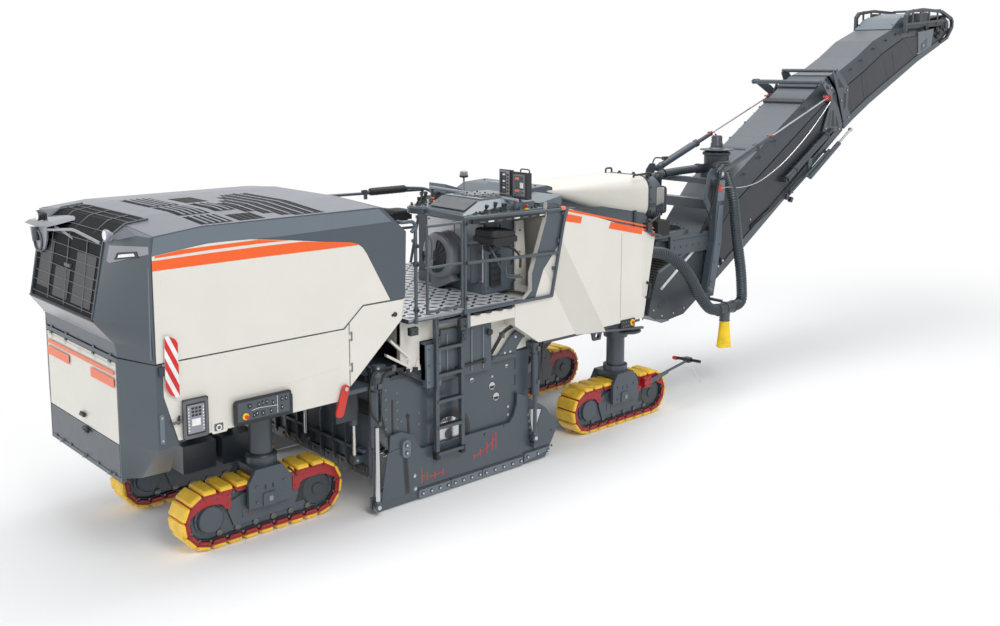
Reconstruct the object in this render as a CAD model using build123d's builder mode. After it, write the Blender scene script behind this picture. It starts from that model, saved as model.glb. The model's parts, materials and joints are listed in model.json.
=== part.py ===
from build123d import *
import math
import os

os.makedirs("parts", exist_ok=True)

# Large track-mounted cold planer. Millimetres, +X forward, +Y left, +Z up, ground at Z 0.
# Stations along the machine (the x of every helper below) are measured from the rear lifting
# columns; model_x turns a station into the model's own X, whose zero is mid-length.

# ---- overall ----
body_half = 1250            # half width over the body panels
rear_overhang = 1575        # rear columns to the tip of the rear visor
wheelbase = 4880            # rear columns to front columns
panel = 40                  # outer panels and doors
gap = 8                     # joint gap round doors and lids
running = 0.5               # play of a rod or column in its guide

# ---- track units and lifting columns ----
track_back = 900            # column to rear end of the track
track_front = 820           # column to front end of the track
track_height = 575
shoe_width = 305
loop_thick = 85             # chain plus pads
rear_track_y = 654          # column from the centre line
front_track_y = 776
column_r = 112
column_top = 1900
lift_up = 340               # travel of a column from its parked place, upwards
yoke_top = track_height + 90
boss_top = yoke_top + 70    # top of the steering boss on the track frame
boss_r = 150
cheek = 45                  # plates of the saddle that straddles the track
sleeve_wall = 38
rear_sleeve_bottom = 1240
front_sleeve_bottom = 1090
sleeve_top = 2000

# ---- chassis ----
deck_z = 1300               # underside of the deck and of the front rails
deck_thick = 40
rail_top = 1400
beam_out = rear_track_y - column_r - 42     # outer and inner faces of the long beams
beam_in = beam_out - 140
beam_bottom = 1340
beam_top = 1640
beam_front = 2650
deck_front = 930
rail_out = 1060
rail_front = 5000
eye_r = 35                  # holes of the lifting and tie-down eyes
eye_thick = 40

# ---- rear body and hood ----
rear_face = 1423            # rear panels behind the columns
rear_half = 814             # half width of the flat rear face
corner_front = 1278         # station where the rear corner panels meet the sides
lower_edge = 900            # bottom of the rear panels
foot_top = 1230             # crease above the tapered feet of the rear corners
flap_split = 1195
flap_top = 1910
hood_seam = 1965            # parting line between hood and lower body
side_bottom = 1280
hinge_line = 630            # hinge of the small service doors
door_front = 1285
door_top = 2155
hood_front = 1305
hood_shoulder = 3070
roof_z = 3120
roof_half = 580             # half width of the flat part of the roof
roof_bend = -820            # behind this the roof falls to the rear
roof_tail = (-1250, 3074)   # behind this it falls to the screen
visor_z = 2280
visor_half = 750
window_half = 715           # rear screen's opening
window_front = -1050
hood_wall = 45

# ---- platform ----
floor_top = 1925
floor_thick = 40
floor_rear = 1325
floor_front = 2850          # on the right and in the middle
floor_left_front = 3640     # the left half of the floor runs on to the front body
rail_y = body_half + 25      # centre line of the hand rails
rail_r = 18
rail_z = 2870
gate_rear = 1540
gate_hinge = 1990
desk_front = 3250
desk_low = 2790
desk_top = 2860
desk_right = -1185          # the desk stands to the right of the centre line
desk_left = 300
pedestal_rear = 2650
pedestal_front = 3140
pedestal_right = -850

# ---- front body ----
tank_inner = 500
chute_half = 430            # half width of the primary conveyor
tank_rear = 2745
right_rear = 3400           # rear walls of the upper right and left halves
left_rear = 3650

# ---- milling drum and its housing ----
drum_x = 1980
drum_z = 590
drum_r = 510
drum_half = 1000
hub_r = 160
wall_in = 1040              # housing side walls
wall_out = 1085
housing_rear = 1110
housing_front = 3100
plate_in = 1100             # side plates that float on the ground
plate_out = 1130
plate_foot = 10             # rest height of the side plates
rod_r = 22
barrel_r = 48

# ---- discharge conveyor ----
slew_x = 6450               # slewing axis
ring_r = 500
ring_z = 2200
ring_thick = 55
luff_x = 7000               # luffing pivot
luff_z = 1350
belt_half = 450             # half width of the conveyor frame
belt_wall = 30
fold_x = 10500              # folding hinge under the belt
fold_z = 3330
nose_x = 13750              # centre of the head drum at the tip
nose_z = 5100
nose_r = 240
yoke_x = 7190               # base pins of the luffing cylinders
yoke_z = 2930
stay_x = 9950               # pins of the stays on the conveyor
stay_z = 3930
cylinder_y = 530            # plane of the luffing cylinders

datum = -(nose_x + nose_r - rear_overhang) / 2      # X of the rear columns


def model_x(x):
    """Model X of a station measured from the rear columns."""
    return x + datum


def block(x0, x1, y0, y1, z0, z1, mode=Mode.ADD):
    """Block between two corners."""
    with Locations((model_x((x0 + x1) / 2), (y0 + y1) / 2, (z0 + z1) / 2)):
        Box(abs(x1 - x0), abs(y1 - y0), abs(z1 - z0), mode=mode)


def slab(points, y0, y1, mode=Mode.ADD):
    """Side outline, as (x, z) points, drawn out from one y to another."""
    low, high = sorted((y0, y1))
    with BuildSketch(Plane(origin=(datum, high, 0), x_dir=(1, 0, 0), z_dir=(0, -1, 0))) as outline:
        with BuildLine():
            Polyline(*points, close=True)
        make_face()
    extrude(outline.sketch, amount=high - low, mode=mode)


def plan(points, z0, z1, mode=Mode.ADD):
    """Plan outline, as (x, y) points, drawn up from one z to another."""
    with BuildSketch(Plane(origin=(datum, 0, z0))) as outline:
        with BuildLine():
            Polyline(*points, close=True)
        make_face()
    extrude(outline.sketch, amount=z1 - z0, mode=mode)


def across(x, z, radius, y0, y1, mode=Mode.ADD):
    """Round bar along Y."""
    low, high = sorted((y0, y1))
    with BuildSketch(Plane(origin=(model_x(x), high, z), x_dir=(1, 0, 0), z_dir=(0, -1, 0))) as outline:
        Circle(radius)
    extrude(outline.sketch, amount=high - low, mode=mode)


def upright(x, y, radius, z0, z1, mode=Mode.ADD):
    """Round bar along Z."""
    with BuildSketch(Plane(origin=(model_x(x), y, z0))) as outline:
        Circle(radius)
    extrude(outline.sketch, amount=z1 - z0, mode=mode)


def rod(start, end, radius, mode=Mode.ADD):
    """Round bar from one (x, y, z) point to another."""
    first = Vector(model_x(start[0]), start[1], start[2])
    last = Vector(model_x(end[0]), end[1], end[2])
    with BuildSketch(Plane(origin=first, z_dir=last - first)) as outline:
        Circle(radius)
    extrude(outline.sketch, amount=(last - first).length, mode=mode)


def save(builder, name):
    """Label one piece and write it."""
    builder.part.label = name
    export_step(builder.part, f"parts/{name}.step")


def obround(back, front, low, high, y0, y1, mode=Mode.ADD):
    """Track-shaped outline: two half circles joined by straight runs."""
    radius = (high - low) / 2
    centre_z = (high + low) / 2
    slab([(back + radius, low), (front - radius, low), (front - radius, high), (back + radius, high)],
         y0, y1, mode)
    across(back + radius, centre_z, radius, y0, y1, mode)
    across(front - radius, centre_z, radius, y0, y1, mode)


# ---- chassis ----
corners = [
    # name, column x, column y, underside of the guide sleeve
    ("rear_right", 0, -rear_track_y, rear_sleeve_bottom),
    ("rear_left", 0, rear_track_y, rear_sleeve_bottom),
    ("front_right", wheelbase, -front_track_y, front_sleeve_bottom),
    ("front_left", wheelbase, front_track_y, front_sleeve_bottom),
]
sleeve_r = column_r + running + sleeve_wall
with BuildPart() as main_frame:
    for side in (-1, 1):
        block(-1375, beam_front, side * beam_in, side * beam_out, beam_bottom, beam_top)
        block(deck_front, rail_front, side * beam_out, side * rail_out, deck_z, rail_top)
    block(-1375, -1255, -beam_in, beam_in, beam_bottom, beam_top)
    block(beam_front - 120, beam_front, -beam_in, beam_in, beam_bottom, beam_top)
    block(rail_front - 190, rail_front, -beam_out, beam_out, deck_z, rail_top)
    for name, x, y, bottom in corners[2:]:
        upright(x, y, sleeve_r, deck_z, rail_top, Mode.SUBTRACT)
save(main_frame, "main_frame")

with BuildPart() as deck_plate:
    block(-1180, deck_front, -(body_half - panel), body_half - panel, deck_z, deck_z + deck_thick)
    for name, x, y, bottom in corners[:2]:
        upright(x, y, sleeve_r, deck_z, deck_z + deck_thick, Mode.SUBTRACT)
save(deck_plate, "deck_plate")

with BuildPart() as guide_sleeves:
    for name, x, y, bottom in corners:
        upright(x, y, sleeve_r, bottom, sleeve_top)
    for name, x, y, bottom in corners:
        upright(x, y, column_r + running, bottom, sleeve_top, Mode.SUBTRACT)
save(guide_sleeves, "guide_sleeves")

# Eyes under the deck and the rails, for slings and tie-down chains.
eyes = [(-980, 1), (-980, -1), (4300, 1), (4300, -1)]       # x, side
eye_in = rail_out - 90
with BuildPart() as tie_down_eyes:
    for x, side in eyes:
        slab([(x - 90, deck_z), (x - 55, deck_z - 130), (x + 55, deck_z - 130), (x + 90, deck_z)],
             side * eye_in, side * (eye_in + eye_thick))
        across(x, deck_z - 75, eye_r, side * (eye_in - 5), side * (eye_in + eye_thick + 5), Mode.SUBTRACT)
save(tie_down_eyes, "tie_down_eyes")

# Forward arms and slewing ring that carry the discharge conveyor.
arm_in = chute_half + 10
with BuildPart() as slewing_support:
    for side in (-1, 1):
        slab([(4650, ring_z - 150), (slew_x - ring_r - 100, ring_z - ring_thick),
              (slew_x, ring_z - ring_thick), (slew_x, ring_z), (4650, ring_z)],
             side * arm_in, side * tank_inner)
    upright(slew_x, 0, ring_r, ring_z - ring_thick, ring_z)
    upright(slew_x, 0, ring_r - 100, ring_z - ring_thick, ring_z, Mode.SUBTRACT)
save(slewing_support, "slewing_support")

with BuildPart() as engine_block:
    block(-850, 750, -beam_out, beam_out, beam_top, 2750)
save(engine_block, "engine_block")

# Weights on a carrier between the rear tracks.
weights = [(-600, -260), (-190, 150)]      # rear and front x of each weight
weight_half = 250
with BuildPart() as rear_weights:
    block(weights[0][0], weights[-1][1], -110, 110, 640, 700)
    for low, high in weights:
        block((low + high) / 2 - 40, (low + high) / 2 + 40, -60, 60, 700, deck_z)
        block(low, high, -weight_half, weight_half, 560, 830)
save(rear_weights, "rear_weights")

# ---- rear body ----
split_x = hinge_line - 60           # where the hood's parting line starts to climb
split_slope = (door_top - hood_seam) / (790 - split_x)


def under_split(x):
    """Height of the edge that lies one joint gap below the climbing parting line."""
    return hood_seam + split_slope * (x - split_x) - gap * math.hypot(1, split_slope)


# Corner panels, sill and cross strip under the hood.
# The hood and the flaps turn on fixed knuckles, whose axes lie on the outer corners of their edges.
knuckle_r = 12
knuckles_y = (320, 680)             # middle of each knuckle, either side
knuckle_half = 20
hood_hinge = (-1412, hood_seam)
upper_hinge = (-rear_face, flap_top)
lower_hinge = (-rear_face, lower_edge + gap)
corner_end = -corner_front + 60     # front edge of the corner panels
side_heel = (corner_end + gap / 2, 1680)
side_toe = (-1100, side_bottom)
heel_slope = (side_heel[0] - side_toe[0]) / (side_heel[1] - side_toe[1])


def behind_heel(z):
    """Station one joint gap behind the slanted rear edge of the side panels."""
    return side_toe[0] + heel_slope * (z - side_toe[1]) - gap


corner_plan = [(-rear_face, rear_half), (-corner_front, body_half), (corner_end, body_half),
               (corner_end, body_half - panel), (-corner_front + 25, body_half - panel),
               (-rear_face + panel, rear_half - 15), (-rear_face, rear_half - 15)]
foot_front = behind_heel(foot_top)
foot_head = [(-rear_face, rear_half), (-corner_front, body_half), (foot_front, body_half),
             (foot_front, body_half - panel), (-corner_front + 25, body_half - panel),
             (-rear_face + panel, rear_half - 15), (-rear_face, rear_half - 15)]
foot_sole = [(-rear_face, rear_half), (-1285, 905), (-1035, 915), (-1035, 915 - panel), (-1265, 905 - panel),
             (-rear_face + panel, rear_half - 15), (-rear_face, rear_half - 15)]
shelf = [(-rear_face + panel, rear_half - 60), (-rear_face + panel, rear_half - 15),
         (-rear_face + 23, rear_half - 9), (-1290, 1150), (-1180, 1150), (-1180, rear_half - 60)]
with BuildPart() as rear_body:
    for side in (-1, 1):
        plan([(x, side * y) for x, y in corner_plan], foot_top, hood_seam - gap)
        # Tapered foot below the crease, then the panel that fills in behind the slanted side edge.
        for z, points in ((lower_edge, foot_sole), (foot_top, foot_head)):
            with BuildSketch(Plane(origin=(datum, 0, z))):
                with BuildLine():
                    Polyline(*[(x, side * y) for x, y in points], close=True)
                make_face()
        loft(ruled=True)
        slab([(corner_end, foot_top), (foot_front, foot_top), (behind_heel(side_bottom), side_bottom),
              (behind_heel(1650), 1650), (corner_end, 1650)], side * (body_half - panel), side * body_half)
        plan([(x, side * y) for x, y in shelf], deck_z, deck_z + deck_thick)
    block(-rear_face, -rear_face + panel, -(rear_half - 15), rear_half - 15, flap_top + gap, hood_seam - gap)
    block(-rear_face, -rear_face + panel, -rear_half, rear_half, lower_edge - 40, lower_edge)
    block(-rear_face + panel, -1375, -rear_half, rear_half, beam_bottom, beam_top)
    for y in knuckles_y:
        for side in (-1, 1):
            low = side * (y - knuckle_half)
            high = side * (y + knuckle_half)
            across(*hood_hinge, knuckle_r, low, high)
            across(*upper_hinge, knuckle_r, low, high)
            block(-rear_face, -rear_face + knuckle_r, low, high, flap_top + 1, flap_top + gap)
            across(*lower_hinge, knuckle_r, low, high)
save(rear_body, "rear_body")


def knuckle_room(hinge):
    """Room in a hinged piece for the fixed knuckles on its axis."""
    for y in knuckles_y:
        for side in (-1, 1):
            across(*hinge, knuckle_r + running, side * (y - knuckle_half - 2), side * (y + knuckle_half + 2),
                   Mode.SUBTRACT)


flaps = [
    # name, bottom, top, hinge
    ("rear_flap_upper", flap_split + gap / 2, flap_top, upper_hinge),
    ("rear_flap_lower", lower_edge + gap, flap_split - gap / 2, lower_hinge),
]
for name, low, high, hinge in flaps:
    with BuildPart() as flap:
        block(-rear_face, -rear_face + panel - 5, -(rear_half - 15 - gap), rear_half - 15 - gap, low, high)
        knuckle_room(hinge)
    save(flap, name)

door_knuckles = (1580, 1880)        # heights of the service doors' hinges
with BuildPart() as side_panels:
    for side in (-1, 1):
        slab([(side_heel[0], hood_seam - gap), side_heel, side_toe, (515, side_bottom),
              (hinge_line - gap, 1400), (hinge_line - gap, under_split(hinge_line - gap)),
              (split_x + 10, hood_seam - gap)],
             side * (body_half - panel), side * body_half)
        for z in door_knuckles:
            block(hinge_line - 30, hinge_line + gap / 2, side * (body_half - 9), side * body_half,
                  z - knuckle_half, z + knuckle_half)
            upright(hinge_line + gap / 2, side * body_half, 9, z - knuckle_half, z + knuckle_half)
save(side_panels, "side_panels")

with BuildPart() as side_controls:
    for side in (-1, 1):
        block(-590, -20, side * body_half, side * (body_half + 40), side_bottom + 10, 1470)
        block(-1060, -840, side * body_half, side * (body_half + 40), side_bottom + 5, 1620)
save(side_controls, "side_controls")

for name, side in (("service_door_right", -1), ("service_door_left", 1)):
    with BuildPart() as door:
        slab([(hinge_line + gap / 2, 1400), (hinge_line + gap / 2, under_split(hinge_line + gap / 2)),
              (split_x + (door_top - hood_seam + 3) / split_slope, door_top - gap),
              (door_front - 5, door_top - gap), (1240, 1950)],
             side * (body_half - panel), side * body_half)
        for z in door_knuckles:
            upright(hinge_line + gap / 2, side * body_half, 9 + running, z - knuckle_half - 2,
                    z + knuckle_half + 2, Mode.SUBTRACT)
    save(door, name)

# ---- hood ----
hood_sections = [
    # z, rear edge, its half width
    (hood_seam, hood_hinge[0], rear_half - 4),
    (2090, -1430, rear_half - 10),
    (visor_z, -rear_overhang, visor_half),
    (2950, -1440, rear_half - 14),
    (roof_z + 10, -1405, rear_half - 14),
]
roof_fall = (roof_z - roof_tail[1]) / (roof_bend - roof_tail[0])
hood_side = [(-1640, hood_seam), (split_x, hood_seam), (790, door_top), (door_front, door_top),
             (hood_front, 2810), (965, roof_z), (roof_bend, roof_z), roof_tail, (-1640, 2819)]
ceiling = roof_z - hood_wall - 50
bay_side = [(split_x, hood_seam - 20), (800, door_top - 20), (door_front - hood_wall, door_top - 20),
            (hood_front - hood_wall, 2790), (945, ceiling)]     # engine bay's outline, front half
with BuildPart() as engine_hood:
    for z, back, half in hood_sections:
        with BuildSketch(Plane(origin=(datum, 0, z))):
            with BuildLine():
                Polyline((back, -half), (-corner_front, -body_half), (hood_front + 10, -body_half),
                         (hood_front + 10, body_half), (-corner_front, body_half), (back, half), close=True)
            make_face()
    loft(ruled=True)
    slab(hood_side, -body_half, body_half, Mode.INTERSECT)
    for side in (-1, 1):
        # Shoulders between the roof and the sides, level ahead of the bend and falling behind it.
        bend = Plane(origin=(model_x(roof_bend), 0, 0), x_dir=(0, 1, 0), z_dir=(1, 0, 0))
        with BuildSketch(bend) as shoulder:
            with BuildLine():
                Polyline((side * roof_half, roof_z), (side * body_half, hood_shoulder),
                         (side * (body_half + 10), roof_z + 20), (side * roof_half, roof_z + 20), close=True)
            make_face()
        extrude(shoulder.sketch, amount=hood_front - roof_bend + 20, mode=Mode.SUBTRACT)
        extrude(shoulder.sketch, amount=800, dir=(-1, 0, -roof_fall), mode=Mode.SUBTRACT)
        slab([(-1180, hood_seam - 20), *bay_side, (roof_bend, ceiling), (-1180, ceiling - 40)],
             side * (window_half - 1), side * (body_half - hood_wall), Mode.SUBTRACT)
    slab([(-1640, visor_z + 20), (-1520, visor_z + 20), (-1383, 2108),
          (hood_hinge[0] + hood_wall, hood_seam - 20), *bay_side, (window_front, ceiling),
          (window_front, roof_z + 20), (-1640, roof_z + 20)],
         -window_half, window_half, Mode.SUBTRACT)
    knuckle_room(hood_hinge)
save(engine_hood, "engine_hood")

screen_half = window_half - running
with BuildPart() as rear_screen:
    slab([(-1560, visor_z + 20.5), (-1535, visor_z + 20.5), (-1413, 2930), (-1242, 3041),
          (window_front - running, 3062), (window_front - running, 3087), (-1250, 3066), (-1434, 2944)],
         -screen_half, screen_half)
save(rear_screen, "rear_screen")

# ---- platform ----
floor_low = floor_top - floor_thick
with BuildPart() as platform_floor:
    block(floor_rear, floor_front, -(body_half - 5), body_half - 5, floor_low, floor_top)
    block(floor_front, floor_left_front, tank_inner, body_half - 5, floor_low, floor_top)
save(platform_floor, "platform_floor")

with BuildPart() as middle_body:
    block(floor_rear + 20, beam_front, -wall_out, wall_out, beam_top, floor_low)
save(middle_body, "middle_body")

rail_low = floor_top - 25           # lower end of the wrap rail
wrap = [(3480, rail_z - 30), (3270, rail_low)]      # x, z of its front corners
with BuildPart() as railings:
    for side in (-1, 1):
        y = side * rail_y
        for x in (1400, 2030):
            rod((x, y, floor_low), (x, y, rail_z), rail_r)
        for x in (1400, 2030, 2750):
            block(x - 18, x + 18, side * (body_half - 5), y, floor_low, floor_top)
        rod((2030, y, rail_z), (wrap[0][0], y, wrap[0][1]), rail_r)
        rod((2030, y, 2410), (3375, y, 2370), rail_r)
        rod((wrap[0][0], y, wrap[0][1]), (wrap[1][0], y, wrap[1][1]), rail_r)
        rod((wrap[1][0], y, wrap[1][1]), (2030, y, rail_low), rail_r)
        for x, z in (*wrap, (2030, rail_z), (2030, rail_low)):
            with Locations((model_x(x), y, z)):
                Sphere(rail_r)
        rod((1350, y, 2800), (1400, y, 2840), rail_r)
save(railings, "railings")

for name, side in (("gate_right", -1), ("gate_left", 1)):
    y = side * rail_y
    with BuildPart() as gate:
        for x in (gate_rear, gate_hinge):
            rod((x, y, floor_top + 35), (x, y, 2850), 15)
        for z in (floor_top + 50, 2420, 2835):
            rod((gate_rear, y, z), (gate_hinge, y, z), 14)
        for z in (2250, 2700):
            block(gate_hinge, 2030 - rail_r - 0.5, y - 6, y + 6, z - 25, z + 25)
    save(gate, name)

with BuildPart() as console:
    plan([(2170, desk_right), (desk_front, desk_right), (desk_front, desk_left), (2780, desk_left),
          (2420, 130), (2260, 60), (2200, -60), (2200, -200), (2290, -300)], desk_low, desk_top)
    slab([(2280, desk_top), (desk_front - 60, desk_top), (desk_front - 60, desk_top + 130),
          (2500, desk_top + 120)], -1070, -300)
    block(pedestal_rear, pedestal_front, pedestal_right, desk_left, floor_top, desk_low)
save(console, "console")

cleaner_r = 260
cleaner_y = -270
cleaner_z = 2310
with BuildPart() as air_cleaner:
    with BuildSketch(Plane(origin=(model_x(pedestal_rear), cleaner_y, cleaner_z), x_dir=(0, 1, 0),
                           z_dir=(-1, 0, 0))):
        Circle(cleaner_r)
    extrude(amount=200)
save(air_cleaner, "air_cleaner")

# Right seat on an arm from the pedestal, left seat on a post.
with BuildPart() as operator_seats:
    block(2490, 2830, -1190, pedestal_right - 10, 2540, 2600)
    block(2670, 2750, -960, pedestal_right, 2460, 2540)
    block(2720, 3040, 930, 1200, 2540, 2600)
    upright(2880, 1065, 30, floor_top, 2540)
save(operator_seats, "operator_seats")

with BuildPart() as ladders:
    for side in (-1, 1):
        for x in (1710, 2045):
            block(x - 22, x + 22, side * 1165, side * 1215, 400, floor_low)
        for step in range(6):
            z = 440 + step * 275
            block(1710, 2045, side * 1160, side * 1225, z, z + 30)
save(ladders, "ladders")

with BuildPart() as tool_boxes:
    for side in (-1, 1):
        block(1600, 2490, side * 780, side * wall_out, rail_top, beam_top - 10)
        block(1600, 2490, side * wall_out, side * 1150, 1240, beam_top - 10)
save(tool_boxes, "tool_boxes")

# ---- front body ----
halves = [(-1, right_rear, 2880), (1, left_rear, 2805)]     # side, rear wall and its height
with BuildPart() as front_body:
    for side, rear, top in halves:
        slab([(tank_rear, beam_top), (3100, rail_top), (4870, rail_top), (5175, 2345), (3655, 2804),
              (rear, top), (rear, floor_low), (tank_rear, floor_low)], side * tank_inner, side * body_half)
        plan([(4780, side * (body_half + 10)), (5200, side * (body_half + 10)), (5200, side * 1120)],
             rail_top - 10, 2950, Mode.SUBTRACT)
        upright(wheelbase, side * front_track_y, sleeve_r + running, rail_top, column_top + lift_up + 20,
                Mode.SUBTRACT)
    # Wing plate that screens the right end of the platform.
    slab([(right_rear, 2880), (3220, 2935), (3210, 2770), (2990, 2180), (2990, floor_top + 60),
          (floor_front + 10, floor_low), (right_rear, floor_low)], -(body_half - 60), -body_half)
save(front_body, "front_body")

with BuildPart() as primary_conveyor:
    slab([(housing_front, 700), (housing_front, 1600), (3480, 2760), (3900, 2975), (5880, 2975),
          (6280, 2930), (6280, 2320), (5950, 2320), (3560, 640)], -chute_half, chute_half)
save(primary_conveyor, "primary_conveyor")

# ---- milling drum, housing and side plates ----
with BuildPart() as drum_housing:
    for side in (-1, 1):
        slab([(housing_rear, 960), (housing_rear + 120, 520), (1500, 330), (2900, 330), (housing_front, 520),
              (housing_front, deck_z), (housing_rear, deck_z)], side * wall_in, side * wall_out)
        across(drum_x, drum_z, hub_r + running, side * (wall_in - 5), side * (wall_out + 5), Mode.SUBTRACT)
    block(housing_rear, housing_front, -wall_in, wall_in, deck_z - 40, deck_z)
    block(housing_front - 45, housing_front, -wall_in, wall_in, 520, deck_z - 40)
    block(housing_rear, housing_rear + 40, -wall_in, wall_in, 1060, deck_z - 40)
save(drum_housing, "drum_housing")

with BuildPart() as milling_drum:
    across(drum_x, drum_z, drum_r, -drum_half, drum_half)
    across(drum_x, drum_z, hub_r, -(wall_out - 5), wall_out - 5)
save(milling_drum, "milling_drum")

plate_outline = [(1010, 170), (1100, plate_foot), (3320, plate_foot), (3375, 95), (3525, 345), (3310, 600),
                 (2985, 800), (2890, 840), (2885, 720), (2835, 585), (2780, 530), (1575, 530), (1540, 550),
                 (1460, 700), (1300, 765), (1170, 750), (1130, 260)]
plate_window = [(3060, 600), (3235, 560), (3140, 300)]
plate_mid = (plate_in + plate_out) / 2
front_rod_y = plate_out + 5 + barrel_r      # the front cylinders stand outside the plates
cylinders = [
    # x, |y|, foot of the rod, bottom and top of the barrel
    (985, plate_mid, 165, 690, 1440),
    (3110, front_rod_y, 240, 800, 1390),
]
for name, side in (("side_plate_right", -1), ("side_plate_left", 1)):
    with BuildPart() as side_plate:
        slab(plate_outline, side * plate_in, side * plate_out)
        slab(plate_window, side * plate_in, side * plate_out, Mode.SUBTRACT)
        slab([(930, 40), (1100, plate_foot), (1100, 170), (930, 170)], side * plate_in, side * plate_out)
        for x, y, foot, low, high in cylinders:
            upright(x, side * y, rod_r, foot, 1000)
        front_rod_x = cylinders[1][0]
        block(front_rod_x - 35, front_rod_x + 35, side * plate_out, side * (front_rod_y + rod_r), 190, 240)
    save(side_plate, name)

scraper_x = 1010            # station of the front face of the scraper blade
scraper_thick = 30
scraper_rods = (-900, 0, 900)
scraper_rod_x = scraper_x - 110
with BuildPart() as scraper_blade:
    block(scraper_x - scraper_thick, scraper_x, -1030, 1030, 350, 980)
    for y in scraper_rods:
        block(scraper_rod_x - 35, scraper_x - scraper_thick, y - 40, y + 40, 480, 560)
        upright(scraper_rod_x, y, rod_r, 560, 980)
save(scraper_blade, "scraper_blade")

with BuildPart() as lift_cylinders:
    for x, y, foot, low, high in cylinders:
        for side in (-1, 1):
            upright(x, side * y, barrel_r, low, high)
            block(x - 40, x + 40, side * rail_out, side * y, deck_z + 10, rail_top - 20)
            upright(x, side * y, rod_r + running, low, high - 20, Mode.SUBTRACT)
    for y in scraper_rods:
        upright(scraper_rod_x, y, barrel_r, 880, deck_z)
        upright(scraper_rod_x, y, rod_r + running, 880, deck_z - 5, Mode.SUBTRACT)
save(lift_cylinders, "lift_cylinders")

# ---- lifting columns and track units ----
for name, x, y, bottom in corners:
    low_y = y - shoe_width / 2
    high_y = y + shoe_width / 2
    with BuildPart() as column:
        upright(x, y, column_r, boss_top + running, column_top)
    save(column, f"lifting_column_{name}")

    with BuildPart() as track:
        obround(x - track_back, x + track_front, 0, track_height, low_y, high_y)
        obround(x - track_back + loop_thick, x + track_front - loop_thick, loop_thick,
                track_height - loop_thick, low_y, high_y, Mode.SUBTRACT)
    save(track, f"track_{name}")

    wheel_r = track_height / 2 - loop_thick - running
    wheel_z = track_height / 2
    with BuildPart() as track_frame:
        block(x - track_back + track_height / 2, x + track_front - track_height / 2, y - 100, y + 100,
              loop_thick + running, track_height - loop_thick - running)
        across(x - track_back + track_height / 2, wheel_z, wheel_r, y - 100, y + 100)
        across(x + track_front - track_height / 2, wheel_z, wheel_r, y - 100, y + 100)
        for side in (-1, 1):
            face = y + side * shoe_width / 2
            slab([(x - 250, 300), (x + 210, 300), (x + 210, 530), (x + 110, yoke_top), (x - 170, yoke_top),
                  (x - 250, 530)], face + side, face + side * cheek)
            block(x - 200, x + 150, y + side * 100, face + side, 300, 440)
        block(x - 170, x + 110, low_y - cheek, high_y + cheek, track_height + 15, yoke_top)
        upright(x, y, boss_r, yoke_top, boss_top)
    save(track_frame, f"track_frame_{name}")

# ---- discharge conveyor ----
turn_top = ring_z - ring_thick - running        # top of the part that turns under the ring
turn_low = turn_top - 60
post_in = ring_r
post_out = 600
pin_y = cylinder_y
with BuildPart() as swivel_frame:
    upright(slew_x, 0, ring_r, turn_low, turn_top)
    upright(slew_x, 0, ring_r - 100, turn_low, turn_top, Mode.SUBTRACT)
    for side in (-1, 1):
        block(slew_x - 200, 7060, side * 465, side * post_in, turn_low - 200, turn_top)
        slab([(6900, 1250), (7080, 1250), (7240, 2000), (7260, 2850), (7120, 2850), (7060, 2000)],
             side * post_in, side * post_out)
        across(luff_x, luff_z, 60, side * (belt_half - belt_wall + 5), side * post_in)
        slab([(7140, 2850), (7240, 2850), (7220, yoke_z + 40), (7160, yoke_z + 40)],
             side * (pin_y - 70), side * (pin_y - 52))
        across(yoke_x, yoke_z, 20, side * (pin_y - 70), side * (pin_y + 35))
    block(7120, 7240, -post_out, post_out, 2780, 2850)
    for side in (-1, 1):
        block(slew_x - 380, slew_x - 365, -380, 380, 1880, turn_low)
        block(slew_x - 380, slew_x + 300, side * 380, side * 395, 1880, turn_low)
        block(slew_x - 120, slew_x + 120, side * 380, side * 465, turn_low - 30, turn_low)
save(swivel_frame, "swivel_frame")

# Riser of the dust extraction with its tee, on a bracket outside the right-hand post.
riser_x = 6940
riser_y = -900
riser_r = 75
tee_z = 1120
with BuildPart() as dust_riser:
    upright(riser_x, riser_y, riser_r, 590, 1400)
    rod((riser_x, riser_y, tee_z), (riser_x - 260, riser_y + 60, tee_z + 180), riser_r)
    block(riser_x - 30, riser_x + 30, riser_y, -post_out, 1290, 1350)
save(dust_riser, "dust_riser")

belt_slope = (4235 - 2710) / (10180 - 7640)


def cover_z(x):
    """Height of the lower conveyor's top cover."""
    return 2710 + belt_slope * (x - 7640)


lower_profile = [(5880, 1120), (6140, 980), (6620, 1030), (fold_x - 6, fold_z + 70), (10180, 4235),
                 (7640, 2710), (7250, 2300), (6600, 1640), (5980, 1500)]
lower_hollow = [(6010, 1600), (6180, 1250), (6620, 1180), (fold_x + 60, fold_z + 180), (10250, 4330),
                (10180, 4235 - 45), (7660, 2710 - 50), (7290, 2270), (6640, 1610), (6500, 1700)]
lug_gap = 5
with BuildPart() as conveyor_lower:
    slab(lower_profile, -belt_half, belt_half)
    slab(lower_hollow, -(belt_half - belt_wall), belt_half - belt_wall, Mode.SUBTRACT)
    across(luff_x, luff_z, 60 + running, -belt_half, belt_half, Mode.SUBTRACT)
    for side in (-1, 1):
        slab([(stay_x - 150, 3900), (stay_x, 3890), (10170, 4100), (10170, 4235), (stay_x - 60, 4100)],
             side * belt_half, side * (belt_half + 40))
    across(fold_x, fold_z, 30, -(belt_half - lug_gap), belt_half - lug_gap)
    for side in (-1, 1):
        slab([(fold_x - 260, fold_z - 20), (fold_x, fold_z - 30), (fold_x, fold_z + 30),
              (fold_x - 120, fold_z + 60)], side * (belt_half - 120), side * (belt_half - 60))
save(conveyor_lower, "conveyor_lower")

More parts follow.
